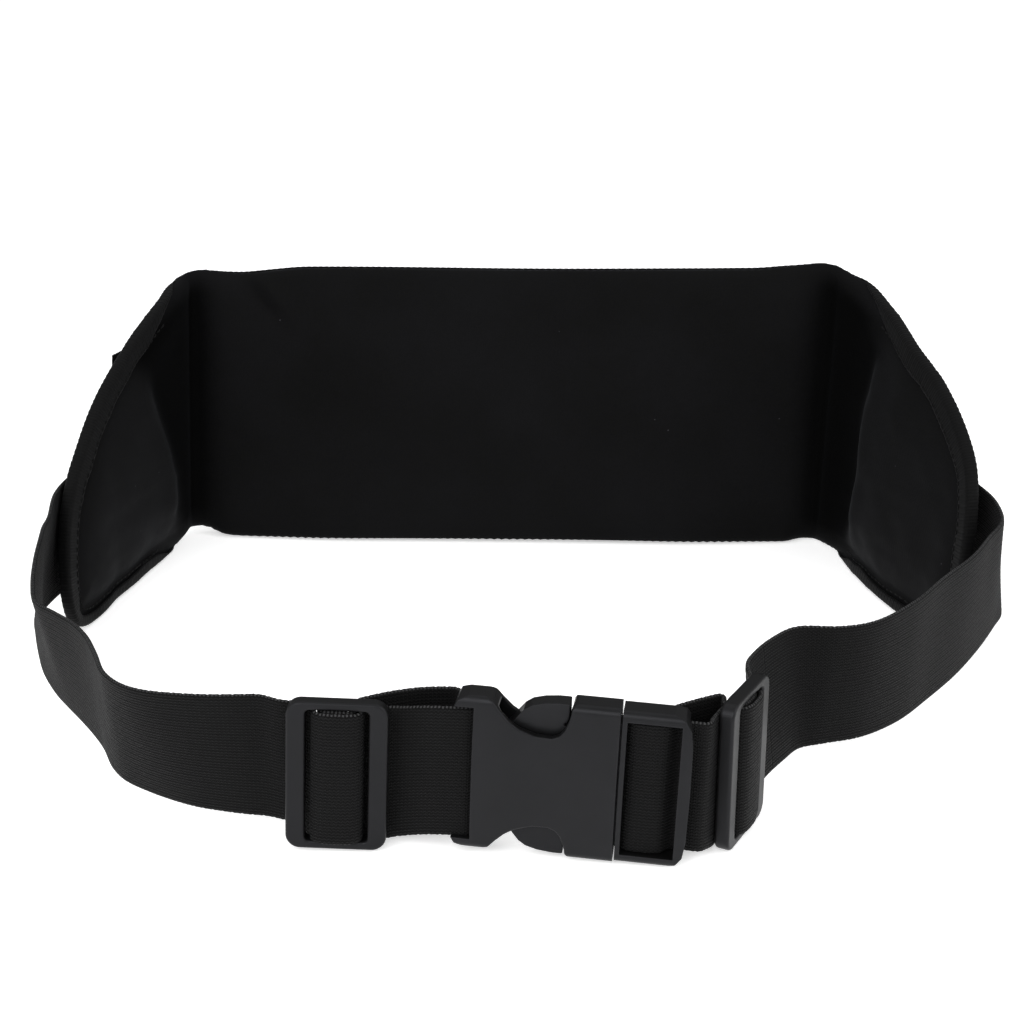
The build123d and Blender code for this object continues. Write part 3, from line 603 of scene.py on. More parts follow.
def along_at(y, side):
    """Distance along the path where one wing reaches y."""
    chosen = PATH_ALONG <= LEFT_FOLD if side == "left" else PATH_ALONG >= RIGHT_FOLD
    wing_y, wing_along = PATH[chosen, 1], PATH_ALONG[chosen]
    order = np.argsort(wing_y)
    return np.interp(y, wing_y[order], wing_along[order])


FLARE = np.array(sorted(
    [(along_at(y, "left"), lean) for y, lean in LEFT_FLARE]
    + [(LEFT_FOLD + 2, 5.0), (LEFT_FOLD + 26, 0.0), (RIGHT_FOLD - 26, 0.0)]
    + [(along_at(y, "right"), lean) for y, lean in RIGHT_FLARE]))


def path_frame(along):
    """x and y of the path, then x and y of its outward normal."""
    return [np.interp(along, PATH_ALONG, column) for column in (*PATH.T, *PATH_NORMAL.T)]


def outward(along):
    normal_x, normal_y = path_frame(along)[2:]
    return np.stack([normal_x, normal_y, np.zeros_like(normal_x)], -1)


def pouch_point(along, z, out):
    """Working x, y, z of points on the pouch, leaning with the flare."""
    along, z, out = np.broadcast_arrays(along, z, out)
    x, y, normal_x, normal_y = path_frame(along)
    lean = np.interp(along, FLARE[:, 0], FLARE[:, 1]) * (z / POUCH_HEIGHT - 0.5)
    return np.stack([x + normal_x * out + lean, y + normal_y * out, z], -1)


def on_pouch(along, z, out):
    """Points on the pouch in metres."""
    return metres(pouch_point(along, z, out))


# ------------------------------------------------------------------ the pouch's outline
def wing_outline(table, side, y_limit):
    """(along, z) of a wing's outline, stopping short of the fold."""
    points = curve(table, 2.0)
    outline = np.stack([along_at(points[:, 0], side), points[:, 1]], 1)
    return outline[points[:, 0] < y_limit]


def make_outline():
    """(along, z) clockwise round the pouch seen from the body side, and the distances."""
    left_end = wing_outline(LEFT_OUTLINE, "left", 119.0)
    right_end = wing_outline(RIGHT_OUTLINE, "right", 111.0)
    along = np.linspace(left_end[0, 0] + 4, right_end[0, 0] - 4, 60)
    height = np.interp(along - LEFT_FOLD, TOP_EDGE[:, 0], TOP_EDGE[:, 1])
    top = np.stack([along, height + 0.2 * np.sin(along / 23)], 1)
    along = np.linspace(right_end[-1, 0] - 4, left_end[-1, 0] + 4, 90)
    # slightly wavy, and lifted at the left fold
    height = 0.3 + 0.25 * np.sin(along / 31) + 2.9 * bell(along, LEFT_FOLD + 1, 7)
    bottom = np.stack([along, height], 1)
    loop = np.concatenate([left_end[::-1], top, right_end, bottom, left_end[-1:]])
    loop, distance = resample(loop, 0.5)
    reach = 8
    padded = np.pad(loop[:-1], ((reach, reach), (0, 0)), mode="wrap")
    weights = np.ones(2 * reach + 1) / (2 * reach + 1)
    loop = np.stack([np.convolve(column, weights, "valid") for column in padded.T], 1)
    return loop, distance[:-1]


OUTLINE, OUTLINE_AT = make_outline()
OUTLINE_INWARD = -left_normal(np.roll(OUTLINE, -1, 0) - np.roll(OUTLINE, 1, 0))
LEFT_TIP, RIGHT_TIP = OUTLINE[:, 0].min(), OUTLINE[:, 0].max()


def edge_between(first, last):
    """The outline's points clockwise from one index to another, sorted along the path."""
    count = (last - first) % len(OUTLINE) + 1
    points = OUTLINE[(first + np.arange(count)) % len(OUTLINE)]
    return points[np.argsort(points[:, 0])]


tip_indices = int(np.argmin(OUTLINE[:, 0])), int(np.argmax(OUTLINE[:, 0]))
UPPER_EDGE = edge_between(*tip_indices)
LOWER_EDGE = edge_between(*tip_indices[::-1])


def top_z(along):
    return np.interp(along, UPPER_EDGE[:, 0], UPPER_EDGE[:, 1])


def bottom_z(along):
    return np.interp(along, LOWER_EDGE[:, 0], LOWER_EDGE[:, 1])


def edge_distance(along, z):
    """Distance in the face to the outline."""
    points = np.stack([np.ravel(along), np.ravel(z)], 1)
    found = np.empty(len(points))
    batch = 4000    # keeps the table of distances small
    for i in range(0, len(points), batch):
        gaps = points[i:i + batch, None, :] - OUTLINE[None, ::2]
        found[i:i + batch] = np.linalg.norm(gaps, axis=2).min(1)
    return found.reshape(np.shape(along))


def on_wing(along, reach=34.0):
    """0 on the middle panel, rising to 1 along each wing."""
    return np.maximum(ease(LEFT_FOLD - along, 2, reach), ease(along - RIGHT_FOLD, 2, reach))


def fold_gap(along):
    """Distance to the nearer fold."""
    return np.minimum(np.abs(along - LEFT_FOLD), np.abs(along - RIGHT_FOLD))


def grid(columns, low, high, share):
    """(along, z) grids: each column runs from low to high by the given shares."""
    low, high = (np.broadcast_to(edge, columns.shape)[:, None] for edge in (low, high))
    return np.repeat(columns[:, None], len(share), 1), low + (high - low) * share


# ------------------------------------------------------------------ body side pad
BAND_WIDTH = 7.4    # the binding on a wing
BAND_COVER = BAND_WIDTH - 0.6    # how far in the pad lies flat beneath it

# z, distance from the fold to the soft ridge that runs down each wing
LEFT_RIDGE = np.array([
    (0, 21), (16, 24), (32, 26), (51, 36), (72, 48), (85, 56), (93, 47), (99, 31),
    (103, 17), (106, 8)], float)
RIGHT_RIDGE = np.array([
    (0, 33), (18, 36), (37, 38), (55, 38), (72, 39), (84, 41), (94, 32), (101, 18),
    (106, 8)], float)


def past_ridge(along, z):
    """Distance past the ridge; negative between fold and ridge."""
    beyond = np.where(along < LEFT_FOLD, LEFT_FOLD - along, along - RIGHT_FOLD)
    ridge = np.where(along < (LEFT_FOLD + RIGHT_FOLD) / 2,
                     np.interp(z, LEFT_RIDGE[:, 0], LEFT_RIDGE[:, 1]),
                     np.interp(z, RIGHT_RIDGE[:, 0], RIGHT_RIDGE[:, 1]))
    return beyond - ridge


def pad_level(along, z):
    """Where the body side face lies; negative stands in towards the body."""
    inset = edge_distance(along, z)
    wing_share = on_wing(along)
    gap = fold_gap(along)

    # middle: turned over at the top and bottom, fuller low down
    turn = 3.6 * (1 - np.sqrt(1 - (1 - np.clip(inset / 3.4, 0, 1)) ** 2))
    middle_gap = np.where((along > LEFT_FOLD) & (along < RIGHT_FOLD), gap, 0)
    low_swell = bell(z, 2, 17) * ease(inset, -1.2, 1.6) * ease(middle_gap, 4, 60)
    foot = bell(z, 0, 5.5) * ease(middle_gap, 1, 12)
    middle = turn - 1.6 * approach(np.clip(inset - 1, 0, None), 9)
    middle = middle - 3.6 * low_swell - 4.4 * foot

    # wing: flat under the binding, then puffed up out of it
    inner = np.clip(inset - BAND_COVER, 0, None)
    wing = 1.3 - 3.0 * approach(inner, 4) - 0.6 * approach(inner, 16)
    covered = 1.3 + 0.6 * np.clip((BAND_COVER - inset) / BAND_WIDTH, 0, 1)
    wing = np.where(inset < BAND_COVER, covered, wing)
    past = past_ridge(along, z)
    rise = 3.4 * ease(past, -9, 5) * (1 - 0.55 * ease(past, 5, 38))
    crest = 1.7 * bell(past, 0, 6.5) - 1.7
    wing = wing - ease(inset, BAND_WIDTH, BAND_WIDTH + 16) * (rise + crest)
    level = middle * (1 - wing_share) + wing * wing_share

    # drawn in at the folds
    crease = bell(gap, 0, 6.5)
    level = level * (1 - crease) + (turn - 0.2) * crease
    level = level + bell(gap, 0, 3.2) * ease(inset, 2, 10)

    # puffed top left corner with a slanting wrinkle
    past_left, below_top = along - LEFT_FOLD, POUCH_HEIGHT - z
    level = level - 1.8 * bell(past_left, 14, 11) * bell(below_top, 9, 9)
    down_slant = (past_left - 24) * 0.62 + (below_top - 4) * 0.78
    over_slant = (past_left - 24) * 0.78 - (below_top - 4) * 0.62
    wrinkle = 1.6 * bell(over_slant, -1.5, 2.6) - 1.7 * bell(over_slant, 4, 2.8)
    level = level + wrinkle * bell(down_slant, 8, 10)

    # puffed top right corner
    level = level - 1.3 * bell(RIGHT_FOLD - along, 10, 9) * bell(below_top, 6, 8)

    # slow unevenness and faint level wrinkles, more of them on the wings
    inside = ease(inset, 2, 12) * ease(gap, 2, 14)
    uneven = ripples(along, z, (0.55, 46, 30, 1), (0.24, 40, 6.5, 2), (0.12, 20, 3.6, 3))
    wing_uneven = ripples(along, z, (0.4, 16, 22, 4))
    wing_uneven = wing_uneven + ripples(along + z, along - z, (0.25, 9, 26, 5))
    return level - inside * (uneven + wing_share * wing_uneven)


def painted_fold_shade(along, z):
    """Painted shade: 1 in the shaded valleys beside the folds, where the knit is drawn darker
    and duller, 0 where it lies open.
    """
    gap = fold_gap(along)
    past = past_ridge(along, z) + 1.6 * value_noise(along / 12, z / 14, 41)
    amount = np.where((along < LEFT_FOLD) | (along > RIGHT_FOLD),
                      1 - ease(past, -14, 4),
                      0.55 + 0.45 * np.exp(-gap / 3.0) - 0.55 * ease(gap, 0, 15))
    return amount * (0.3 + 0.7 * ease(edge_distance(along, z), 1, 10))


def make_pad():
    tip_inset, edge_inset = 1.2, 0.15
    column_step, rows = 1.5, 64
    end_length, end_columns = 12, 14    # the closer columns at each tip
    first, last = LEFT_TIP + tip_inset, RIGHT_TIP - tip_inset
    even = np.linspace(first, last, int((last - first) / column_step))
    even = even[(even > first + end_length) & (even < last - end_length)]
    ends = end_length * (1 - np.cos(np.linspace(0, np.pi / 2, end_columns)))
    columns = np.unique(np.round(np.concatenate([first + ends, even, last - ends]), 4))

    share = 0.55 * cosine_steps(rows) + 0.45 * np.linspace(0, 1, rows)
    low, high = bottom_z(columns) + edge_inset, top_z(columns) - edge_inset
    along, z = grid(columns, low, high, share)
    tip_share = np.clip(np.minimum(along - first, last - along) / 2.0, 0, 1)
    level = pad_level(along, z) * tip_share + 1.9 * (1 - tip_share)
    _, outer_z = grid(columns, low, high, 0.006 + 0.988 * share)
    pad = add_sheet("pad_body_side", on_pouch(along, z, level),
                    on_pouch(along, outer_z, np.maximum(2.6, level + 0.3)), pad_knit)
    # painted shade for the folds, stored on the points for the knit material
    amount = painted_fold_shade(along, z)
    attribute = pad.data.attributes.new("painted_fold_shade", "FLOAT", "POINT")
    amount = there_and_back(amount, amount).ravel().astype(np.float32)
    attribute.data.foreach_set("value", amount)
    return pad


pad = make_pad()

# ------------------------------------------------------------------ edge binding
# The section runs over the body side face, across the rim and onto the outer face. On the
# middle panel it starts on the rim. All of these have one value per outline point.
RIM_START = -0.35
band_wing = on_wing(OUTLINE[:, 0], 48.0)
band_gap = fold_gap(OUTLINE[:, 0])
band_wobble = ripples(OUTLINE_AT, 0.0, (0.45, 9.0, 1, 11), (0.25, 3.1, 1, 12))
rim_end = 5.2 - 1.3 * on_wing(OUTLINE[:, 0], 30.0) - 2.4 * bell(band_gap, 0, 13)


def make_binding():
    points = 23    # across each face of the tape
    corner_reach, corner_cut = 1.4, 0.42
    edge_gap = 0.15
    low_narrowing = (1 - ease(OUTLINE[:, 1], 2, 18)) * ease(band_gap, 20, 60)
    rim_at = (BAND_WIDTH + band_wobble) * (1 - 0.45 * low_narrowing)
    rim_left = rim_at + (rim_end - RIM_START)
    end = rim_left + 7.0 + 0.2 * band_wobble
    start = (1 - band_wing) * (rim_at + 4.2 - RIM_START)
    rim_at, rim_left, start, end, rim_out = (
        values[:, None] for values in (rim_at, rim_left, start, end, rim_end))

    share = np.linspace(0, 1, points)
    outer = start + (end - start) * share
    inner = np.clip(outer, start + edge_gap, end - edge_gap)
    across = there_and_back(outer, inner)

    # the outer face is ribbed and dips at its two lips; the inner face is sunk evenly
    lips = 0.35 * (np.exp(-(outer - start) / 0.9) + np.exp(-(end - outer) / 0.9))
    rib = 0.05 * np.sin(2 * np.pi * OUTLINE_AT / 2.2)[:, None]
    sunk = np.full_like(across, 0.75)
    sunk[:, :points] = -rib + lips - 0.12

    near_first = np.clip(1 - np.abs(across - rim_at) / corner_reach, 0, 1) ** 2
    near_second = np.clip(1 - np.abs(across - rim_left) / corner_reach, 0, 1) ** 2
    inset = np.maximum(rim_at - across, 0) + np.maximum(across - rim_left, 0)
    inset = inset + corner_cut * (near_first + near_second)
    inset = inset + sunk * ((across >= rim_at - 0.3) & (across <= rim_left + 0.3))
    out = RIM_START + np.clip(across - rim_at, 0, rim_out - RIM_START)
    out = out + corner_cut * (near_first - near_second)
    out = out + sunk * np.where(across < rim_at, 1.0, np.where(across < rim_left, 0.0, -1.0))

    place = OUTLINE[:, None] + OUTLINE_INWARD[:, None] * (inset - edge_gap)[..., None]
    travelled = np.broadcast_to(OUTLINE_AT[:, None], across.shape)
    return add_tube("edge_binding", on_pouch(place[..., 0], place[..., 1], out), band_rib,
                    uv=np.stack([travelled, across], -1) * 0.001, closed=True)


band = make_binding()


def add_threads(name, starts, ends, out, radius=0.24, bow=0.25):
    """Short rounded threads; starts and ends are in metres, out points off the cloth."""
    sides, rings = 6, 5
    axis = unit(ends - starts)
    side = unit(np.cross(axis, out))
    up = np.cross(side, axis)
    parts = []
    for ring in range(rings):
        t = ring / (rings - 1)
        lift = math.sin(math.pi * t) * bow * 0.001 - 0.0001
        thickness = radius * 0.001 * (0.45 + 0.55 * math.sin(math.pi * (0.12 + 0.76 * t)))
        centre = starts + (ends - starts) * t + up * lift
        parts.append(circles(centre, side, up, thickness, sides))
    first = (np.arange(len(starts)) * rings * sides)[:, None]
    ring, point = np.meshgrid(np.arange(rings - 1), np.arange(sides), indexing="ij")
    here, ahead, beside = ring * sides, (ring + 1) * sides, (point + 1) % sides
    quads = np.stack([here + point, here + beside, ahead + beside, ahead + point], -1)
    quads = (first[..., None] + quads.reshape(1, -1, 4)).reshape(-1, 4)
    start_caps = first + np.arange(sides)[::-1]
    end_caps = first + (rings - 1) * sides + np.arange(sides)
    return add_mesh(name, np.concatenate(parts, 1), [quads, start_caps, end_caps],
                    sewing_thread)


def binding_stitches(name, starts, inset, out, facing):
    """Stitches that follow the outline at an inset; facing is 1 outwards, -1 to the body."""
    length = 2.2
    ends = []
    for distance in (starts, starts + length):
        i = np.clip(np.searchsorted(OUTLINE_AT, distance), 0, len(OUTLINE_AT) - 1)
        place = OUTLINE[i] + OUTLINE_INWARD[i] * (inset + band_wobble[i])[:, None]
        ends.append((place[:, 0], on_pouch(place[:, 0], place[:, 1], out)))
    (along, first), (_, last) = ends
    return add_threads(name, first, last, facing * outward(along))


stitch_starts = np.arange(0, OUTLINE_AT[-1] - 2, 3.1)
wing_starts = stitch_starts[np.interp(stitch_starts, OUTLINE_AT, band_wing) > 0.75]
inner_stitches = binding_stitches(
    "binding_stitches_inner", wing_starts, inset=BAND_WIDTH - 1.3,
    out=RIM_START - 0.12, facing=-1)
outer_stitches = binding_stitches(
    "binding_stitches_outer", stitch_starts, inset=5.4,
    out=np.interp(stitch_starts, OUTLINE_AT, rim_end) + 0.12, facing=1)


# ------------------------------------------------------------------ outer panels
def add_panel(name, low_edge, high_edge, span, levels, puff, material,
              step=2.0, rows=26, seed=0, slack=0.0):
    """Cloth panel between two edge functions; levels are its inner and outer distances out."""
    columns = np.linspace(*span, int((span[1] - span[0]) / step))
    low, high = low_edge(columns), high_edge(columns)
    keep = high - low > 0.8
    columns, low, high = columns[keep], low[keep], high[keep]
    share = cosine_steps(rows)
    along, z = grid(columns, low, high, share)
    inset = np.minimum(z - low[:, None], high[:, None] - z)
    inset = np.minimum(inset, np.minimum(along - columns[0], columns[-1] - along) + 0.05)
    gap = fold_gap(along)
    rise = puff * approach(inset, 7) * np.clip(gap / 8, 0.25, 1)
    rise = rise + ease(inset, 1, 9) * ripples(
        along, z, (0.3, 30, 16, 21 + seed), (0.14, 12, 30, 22 + seed))

    # slack cloth bows out a little, with slanting drags
    free = slack * ease(inset, 3, 20) * (1 - on_wing(along, 20.0)) * ease(gap, 3, 34)
    bow = 1.5 * np.sin(np.pi * share) + 0.9 * bell(share, 0.22, 0.16)
    drags = ripples(along, z, (1.05, 52, 17, 61 + seed))
    drags = drags + ripples(along + 1.5 * z, z - 0.3 * along, (0.75, 26, 70, 62 + seed))
    drags = drags + ripples(along - 1.9 * z, z + 0.4 * along, (0.5, 17, 60, 63 + seed))
    rise = rise + free * (bow + drags)

    # starts below the binding's rim and rises to the full level further in
    inner_level, outer_level = levels
    edge = edge_distance(along, z)
    rim = 5.0 - 1.5 * on_wing(along, 30.0)
    body = np.minimum(outer_level, rim + (outer_level - rim) * approach(edge, 11) * 1.15)
    outer = body - 0.5 * np.exp(-inset / 0.7) + rise * np.clip(edge / 10, 0, 1)
    inner = np.minimum(inner_level, body - 1.3)
    return add_sheet(name, on_pouch(along, z, outer), on_pouch(along, z, inner), material)


ZIP_OPENING = 3.4    # from the zip's middle to each panel
SHELL_LEVELS = (4.9, POUCH_DEPTH - 0.1)
SHELL_INSET = 1.6

upper_panel = add_panel(
    "outer_face_upper", lambda along: np.full_like(along, ZIP_Z + ZIP_OPENING),
    lambda along: top_z(along) - SHELL_INSET,
    span=(along_at(66, "left"), along_at(57, "right")),
    levels=SHELL_LEVELS, puff=0.3, material=shell_weave)
lower_panel = add_panel(
    "outer_face_lower", lambda along: bottom_z(along) + SHELL_INSET,
    lambda along: np.minimum(ZIP_Z - ZIP_OPENING, top_z(along) - SHELL_INSET),
    span=(LEFT_TIP + 2.5, RIGHT_TIP - 2.5),
    levels=SHELL_LEVELS, puff=0.35, material=shell_weave, rows=44, seed=3, slack=1.0)
lining = add_panel(
    "pocket_lining_sheet", lambda along: 8.0 + 0.6 * np.sin(along / 17),
    lambda along: 68.0 + 0.5 * np.sin(along / 13),
    span=(LEFT_FOLD + 12, RIGHT_FOLD - 12),
    levels=(3.35, 3.8), puff=0.0, material=lining_weave, step=4, rows=16)

# ------------------------------------------------------------------ zip
ZIP_START, ZIP_END = along_at(81, "left"), along_at(68.5, "right")
TAPE_NEAR, TAPE_FAR = 0.3, 10.5    # from the zip's middle to the tape's edges
TAPE_START = along_at(68.5, "left")


def zip_tape(name, low, high):
    columns = np.linspace(TAPE_START, ZIP_END, 240)
    high = np.minimum(high, top_z(columns) - 2.2)
    along, z = grid(columns, low, high, np.linspace(0, 1, 8))
    wobble = 0.05 * np.sin(along / 3.3)
    return add_sheet(name, on_pouch(along, z, 4.55 + wobble),
                     on_pouch(along, z, 4.15 + wobble), tape_twill)


def zip_coil(name, side):
    """Wire wound along one side of the zip's middle; side is 1 above, -1 below."""
    pitch, wire_radius, points_per_turn = 1.45, 0.34, 12
    turns = (ZIP_END - ZIP_START) / pitch
    angle = np.linspace(0, turns * 2 * np.pi, int(turns * points_per_turn))
    along = ZIP_START + angle / (2 * np.pi) * pitch + (0.35 if side > 0 else 0.0)
    along = np.clip(along, ZIP_START, ZIP_END)
    z = ZIP_Z + side * 0.9 + 0.72 * np.cos(angle + (0 if side > 0 else np.pi))
    centres = on_pouch(along, z, 5.45 + 0.5 * np.sin(angle))
    tangent = unit(np.gradient(centres, axis=0))
    across = unit(np.cross(tangent, outward(along)))
    up = np.cross(across, tangent)
    return add_tube(name, circles(centres, across, up, wire_radius * 0.001), coil_nylon)


def zip_stitches():
    """A row of stitches above and below the zip."""
    pitch, length, offset = 2.7, 2.0, 5.6
    starts = np.arange(ZIP_START + 1.0, ZIP_END - 3.0, pitch)
    z = np.repeat([ZIP_Z + offset, ZIP_Z - offset], len(starts))
    starts = np.concatenate([starts, starts])
    out = POUCH_DEPTH + 0.02
    return add_threads("zip_topstitches", on_pouch(starts, z, out),
                       on_pouch(starts + length, z, out), outward(starts), radius=0.2)


def zip_end_tab():
    """Folded cloth tab across the zip's left end."""
    columns = along_at(np.linspace(67.0, 77.0, 22), "left")
    share = np.linspace(0, 1, 10)
    along, z = grid(columns, ZIP_Z - 6.3, ZIP_Z + 4.3, share)
    arch = np.sin(np.pi * np.linspace(0, 1, 22))[:, None] ** 0.5
    rounding = 1 - (2 * share - 1) ** 6
    outer = POUCH_DEPTH - 0.2 + 1.25 * arch * rounding + 0.12 * np.sin(along * 3.1)
    return add_sheet("zip_end_fold", on_pouch(along, z, outer),
                     on_pouch(along, z, POUCH_DEPTH - 0.6), band_rib,
                     uv=np.stack([z, along], -1) * 0.001)


upper_tape = zip_tape("zip_tape_top", ZIP_Z + TAPE_NEAR, ZIP_Z + TAPE_FAR)
lower_tape = zip_tape("zip_tape_bottom", ZIP_Z - TAPE_FAR, ZIP_Z - TAPE_NEAR)
upper_coil, lower_coil = zip_coil("zip_coil_top", 1), zip_coil("zip_coil_bottom", -1)
topstitches = zip_stitches()
end_tab = zip_end_tab()

# piece, its slot, the CAD nodes it replaces
for piece, slot, *nodes in (
        (pad, "padded_cloth", "back_panel"),
        (band, "band_cloth", "edge_band"),
        (inner_stitches, "thread"),
        (outer_stitches, "thread"),
        (topstitches, "thread"),
        (upper_panel, "shell_cloth", "outer_panel_upper"),
        (lower_panel, "shell_cloth", "outer_panel_lower"),
        (lining, "lining_cloth", "pocket_lining"),
        (upper_tape, "zip_tape", "zip_tape_upper"),
        (lower_tape, "zip_tape", "zip_tape_lower"),
        (upper_coil, "zip_coil", "zip_coil_upper"),
        (lower_coil, "zip_coil", "zip_coil_lower"),
        (end_tab, "band_cloth", "zip_end_tab")):
    attach(piece, slot, "pouch", *nodes)

# ------------------------------------------------------------------ strap route
WEB_WIDTH, WEB_THICKNESS = 38.0, 1.6
WEB_HALF = WEB_THICKNESS / 2
WEB_LIFT = 0.5    # gap between the pouch's outer face and the strap
CLEARANCE = 0.25    # between a bar and the strap wound round it
ADJUSTER_LENGTH, ADJUSTER_THICKNESS = 27.0, 4.2
ADJUSTER_BAR_LENGTH, ADJUSTER_BAR_THICKNESS, ADJUSTER_BAR_Y = 5.2, 2.4, 0.9
SOCKET_LENGTH, SOCKET_BAR_RADIUS = 43.5, 1.8
PLUG_BAR_X, PLUG_BAR_HALF, PLUG_BAR_HALF_THICKNESS = 8.2, 3.7, 1.4


class LocalFrame:
    """x along the strap, y across its thickness, z up; roll droops the +x end."""

    def __init__(self, origin, angle, roll=0.0):
        cos, sin = math.cos(math.radians(angle)), math.sin(math.radians(angle))
        cos_roll, sin_roll = math.cos(math.radians(roll)), math.sin(math.radians(roll))
        self.origin = np.array(origin)
        self.axes = np.array([(cos * cos_roll, sin * cos_roll, -sin_roll),
                              (-sin, cos, 0.0),
                              (cos * sin_roll, sin * sin_roll, cos_roll)])

    def point(self, x, y, z):
        return self.origin + np.stack(np.broadcast_arrays(x, y, z), -1) @ self.axes

    def row(self, x, y):
        """Lower and upper edge of the strap."""
        return np.concatenate([self.point(x, y, z) for z in (-WEB_WIDTH / 2, WEB_WIDTH / 2)])

    def along(self, points):
        """Distance in plan along the local x axis."""
        return (points[:, :2] - self.origin[:2]) @ self.axes[0, :2]


BUCKLE = LocalFrame((27.8, -125.0, 22.9), angle=-8.0, roll=2.2)
LEFT_ADJUSTER = LocalFrame((-46.5, -120.3, 22.35), angle=0.0, roll=2.5)
RIGHT_ADJUSTER = LocalFrame((62.15, -111.7, 21.75), angle=62.0)


def arc(centre, radii, degrees, steps, power=1.0):
    """Points on an ellipse; a power below 1 squares it off."""
    points = []
    for k in range(steps + 1):
        angle = math.radians(degrees[0] + (degrees[1] - degrees[0]) * k / steps)
        points.append(tuple(
            middle + radius * math.copysign(abs(value) ** power, value)
            for middle, radius, value in zip(centre, radii, (math.cos(angle), math.sin(angle)))))
    return points


def bar_arc(centre, radii, degrees):
    return arc(centre, radii, degrees, steps=24, power=0.62)


# the sewn layer next to the adjuster's bar, and the layer that passes over it
INNER_X = ADJUSTER_BAR_LENGTH / 2 + CLEARANCE + WEB_HALF
INNER_Y = ADJUSTER_BAR_THICKNESS / 2 + CLEARANCE + WEB_HALF
HUMP_X = INNER_X + WEB_THICKNESS + 1.15
HUMP_Y = INNER_Y + WEB_THICKNESS + 0.25
PASS_Y = ADJUSTER_THICKNESS / 2 + 0.3 + WEB_HALF


def over_bar(adjuster, side):
    """Rows through an adjuster over its bar; side is 1 or -1 along the local x axis."""
    half = ADJUSTER_LENGTH / 2
    approach_points = [(-half + 1.0, PASS_Y), (-HUMP_X - 1.6, PASS_Y),
                       (-HUMP_X - 0.5, PASS_Y - 0.6)]
    points = approach_points + bar_arc((0, ADJUSTER_BAR_Y), (HUMP_X, HUMP_Y), (180, 360))
    points += [(-x, y) for x, y in approach_points[::-1]] + [(half + 1.5, PASS_Y)]
    rows = []
    for x, y in points:
        row = adjuster.row(side * x, y)
        # the lower edge sags where the strap stands clear of the bar
        if y <= 2.0:
            row[2] -= 0.3
        elif abs(x) >= half:
            row[2] -= 1.1
        else:
            row[2] -= 2.7 if x < 0 else 1.9
        rows.append(row)
    return rows


def sewn_end(adjuster, side):
    """Rows of the strap's end, wound round an adjuster's bar."""
    points = [(INNER_X + 1.6, ADJUSTER_BAR_Y + INNER_Y + 0.2)]
    points += bar_arc((0, ADJUSTER_BAR_Y), (INNER_X + 1.3, INNER_Y), (0, -270))
    points += [(2.2, ADJUSTER_BAR_Y + INNER_Y)]
    return [adjuster.row(side * x, y) for x, y in points]


def wing_rows(side, stations, low):
    """Rows that lie on a wing at the given y stations."""
    out = POUCH_DEPTH + WEB_LIFT + WEB_HALF
    return [np.concatenate([pouch_point(along_at(y, side), z, out)
                            for z in (low, low + WEB_WIDTH)]) for y in stations]


def free_rows(table):
    """Rows of the free strap; with no upper height the width is the webbing's own."""
    rows = []
    for low_x, low_y, high_x, high_y, low_z, *high_z in table:
        if not high_z:
            lean = (high_x - low_x) ** 2 + (high_y - low_y) ** 2
            high_z = [low_z + math.sqrt(WEB_WIDTH ** 2 - lean)]
        rows.append((low_x, low_y, low_z, high_x, high_y, high_z[0]))
    return rows


def socket_rows():
    """Rows round the bar at the end of the buckle's socket."""
    bar_x = -SOCKET_LENGTH + 3.2
    radius = SOCKET_BAR_RADIUS + CLEARANCE + WEB_HALF
    # point, how far the lower edge sags
    points = [((bar_x - 9.0, -radius - 0.1), 1.1), ((bar_x - 4.0, -radius), 0.8)]
    points += [(point, 0.35)
               for point in arc((bar_x, 0), (radius, radius), (-90, 90), steps=20)]
    points += [((bar_x - 2.5, radius + 0.9), 0.2)]
    return [BUCKLE.row(*point) - np.array([0, 0, sag, 0, 0, sag * 0.8])
            for point, sag in points]


def plug_rows():
    """Rows round the bar of the buckle's plug."""
    reach_x = PLUG_BAR_HALF + 1.0 + WEB_HALF
    reach_y = PLUG_BAR_HALF_THICKNESS + 0.3 + WEB_HALF
    end = PLUG_BAR_X + reach_x
    points = [(22.5, 1.0), (18.0, 0.9), (end + 1.4, 0.9), (end + 0.4, 0.2)]
    points += bar_arc((PLUG_BAR_X - 0.7, 0), (reach_x, reach_y), (-20, -270))
    points += [(end - 1.2, reach_y + 1.6)]
    return [BUCKLE.row(*point) for point in points]


# x, y of the lower edge, x, y of the upper edge, lower z and, where stretched, upper z
LEFT_FREE = [
    (-157.2, 24.0, -154.0, 26.0, 12.0), (-159.8, 10.0, -152.0, 10.0, 10.5),
    (-157.0, -1.0, -151.2, 0.0, 9.5, 48.2), (-153.5, -12.0, -149.8, -10.0, 8.0, 48.2),
    (-148.5, -25.0, -148.3, -24.0, 6.5, 46.0), (-141.4, -37.6, -146.0, -38.0, 5.3),
    (-135.6, -46.0, -142.5, -49.0, 5.0), (-130.0, -54.5, -135.0, -57.5, 5.0),
    (-124.0, -64.0, -127.6, -66.0, 5.0), (-119.0, -73.0, -122.0, -75.0, 5.0),
    (-113.8, -85.0, -116.4, -87.6, 5.0), (-108.5, -92.5, -111.8, -98.6, 5.0),
    (-101.0, -98.5, -105.5, -105.8, 5.0), (-94.0, -103.0, -98.2, -110.1, 5.0),
    (-87.0, -106.5, -89.8, -112.6, 5.0), (-80.0, -108.5, -81.5, -113.8, 4.9),
    (-73.0, -110.2, -73.0, -114.2, 4.9), (-66.5, -111.4, -66.5, -114.4, 4.9),
    (-61.5, -112.8, -61.5, -116.4, 4.4), (-56.0, -115.6, -56.0, -117.0, 4.1)]
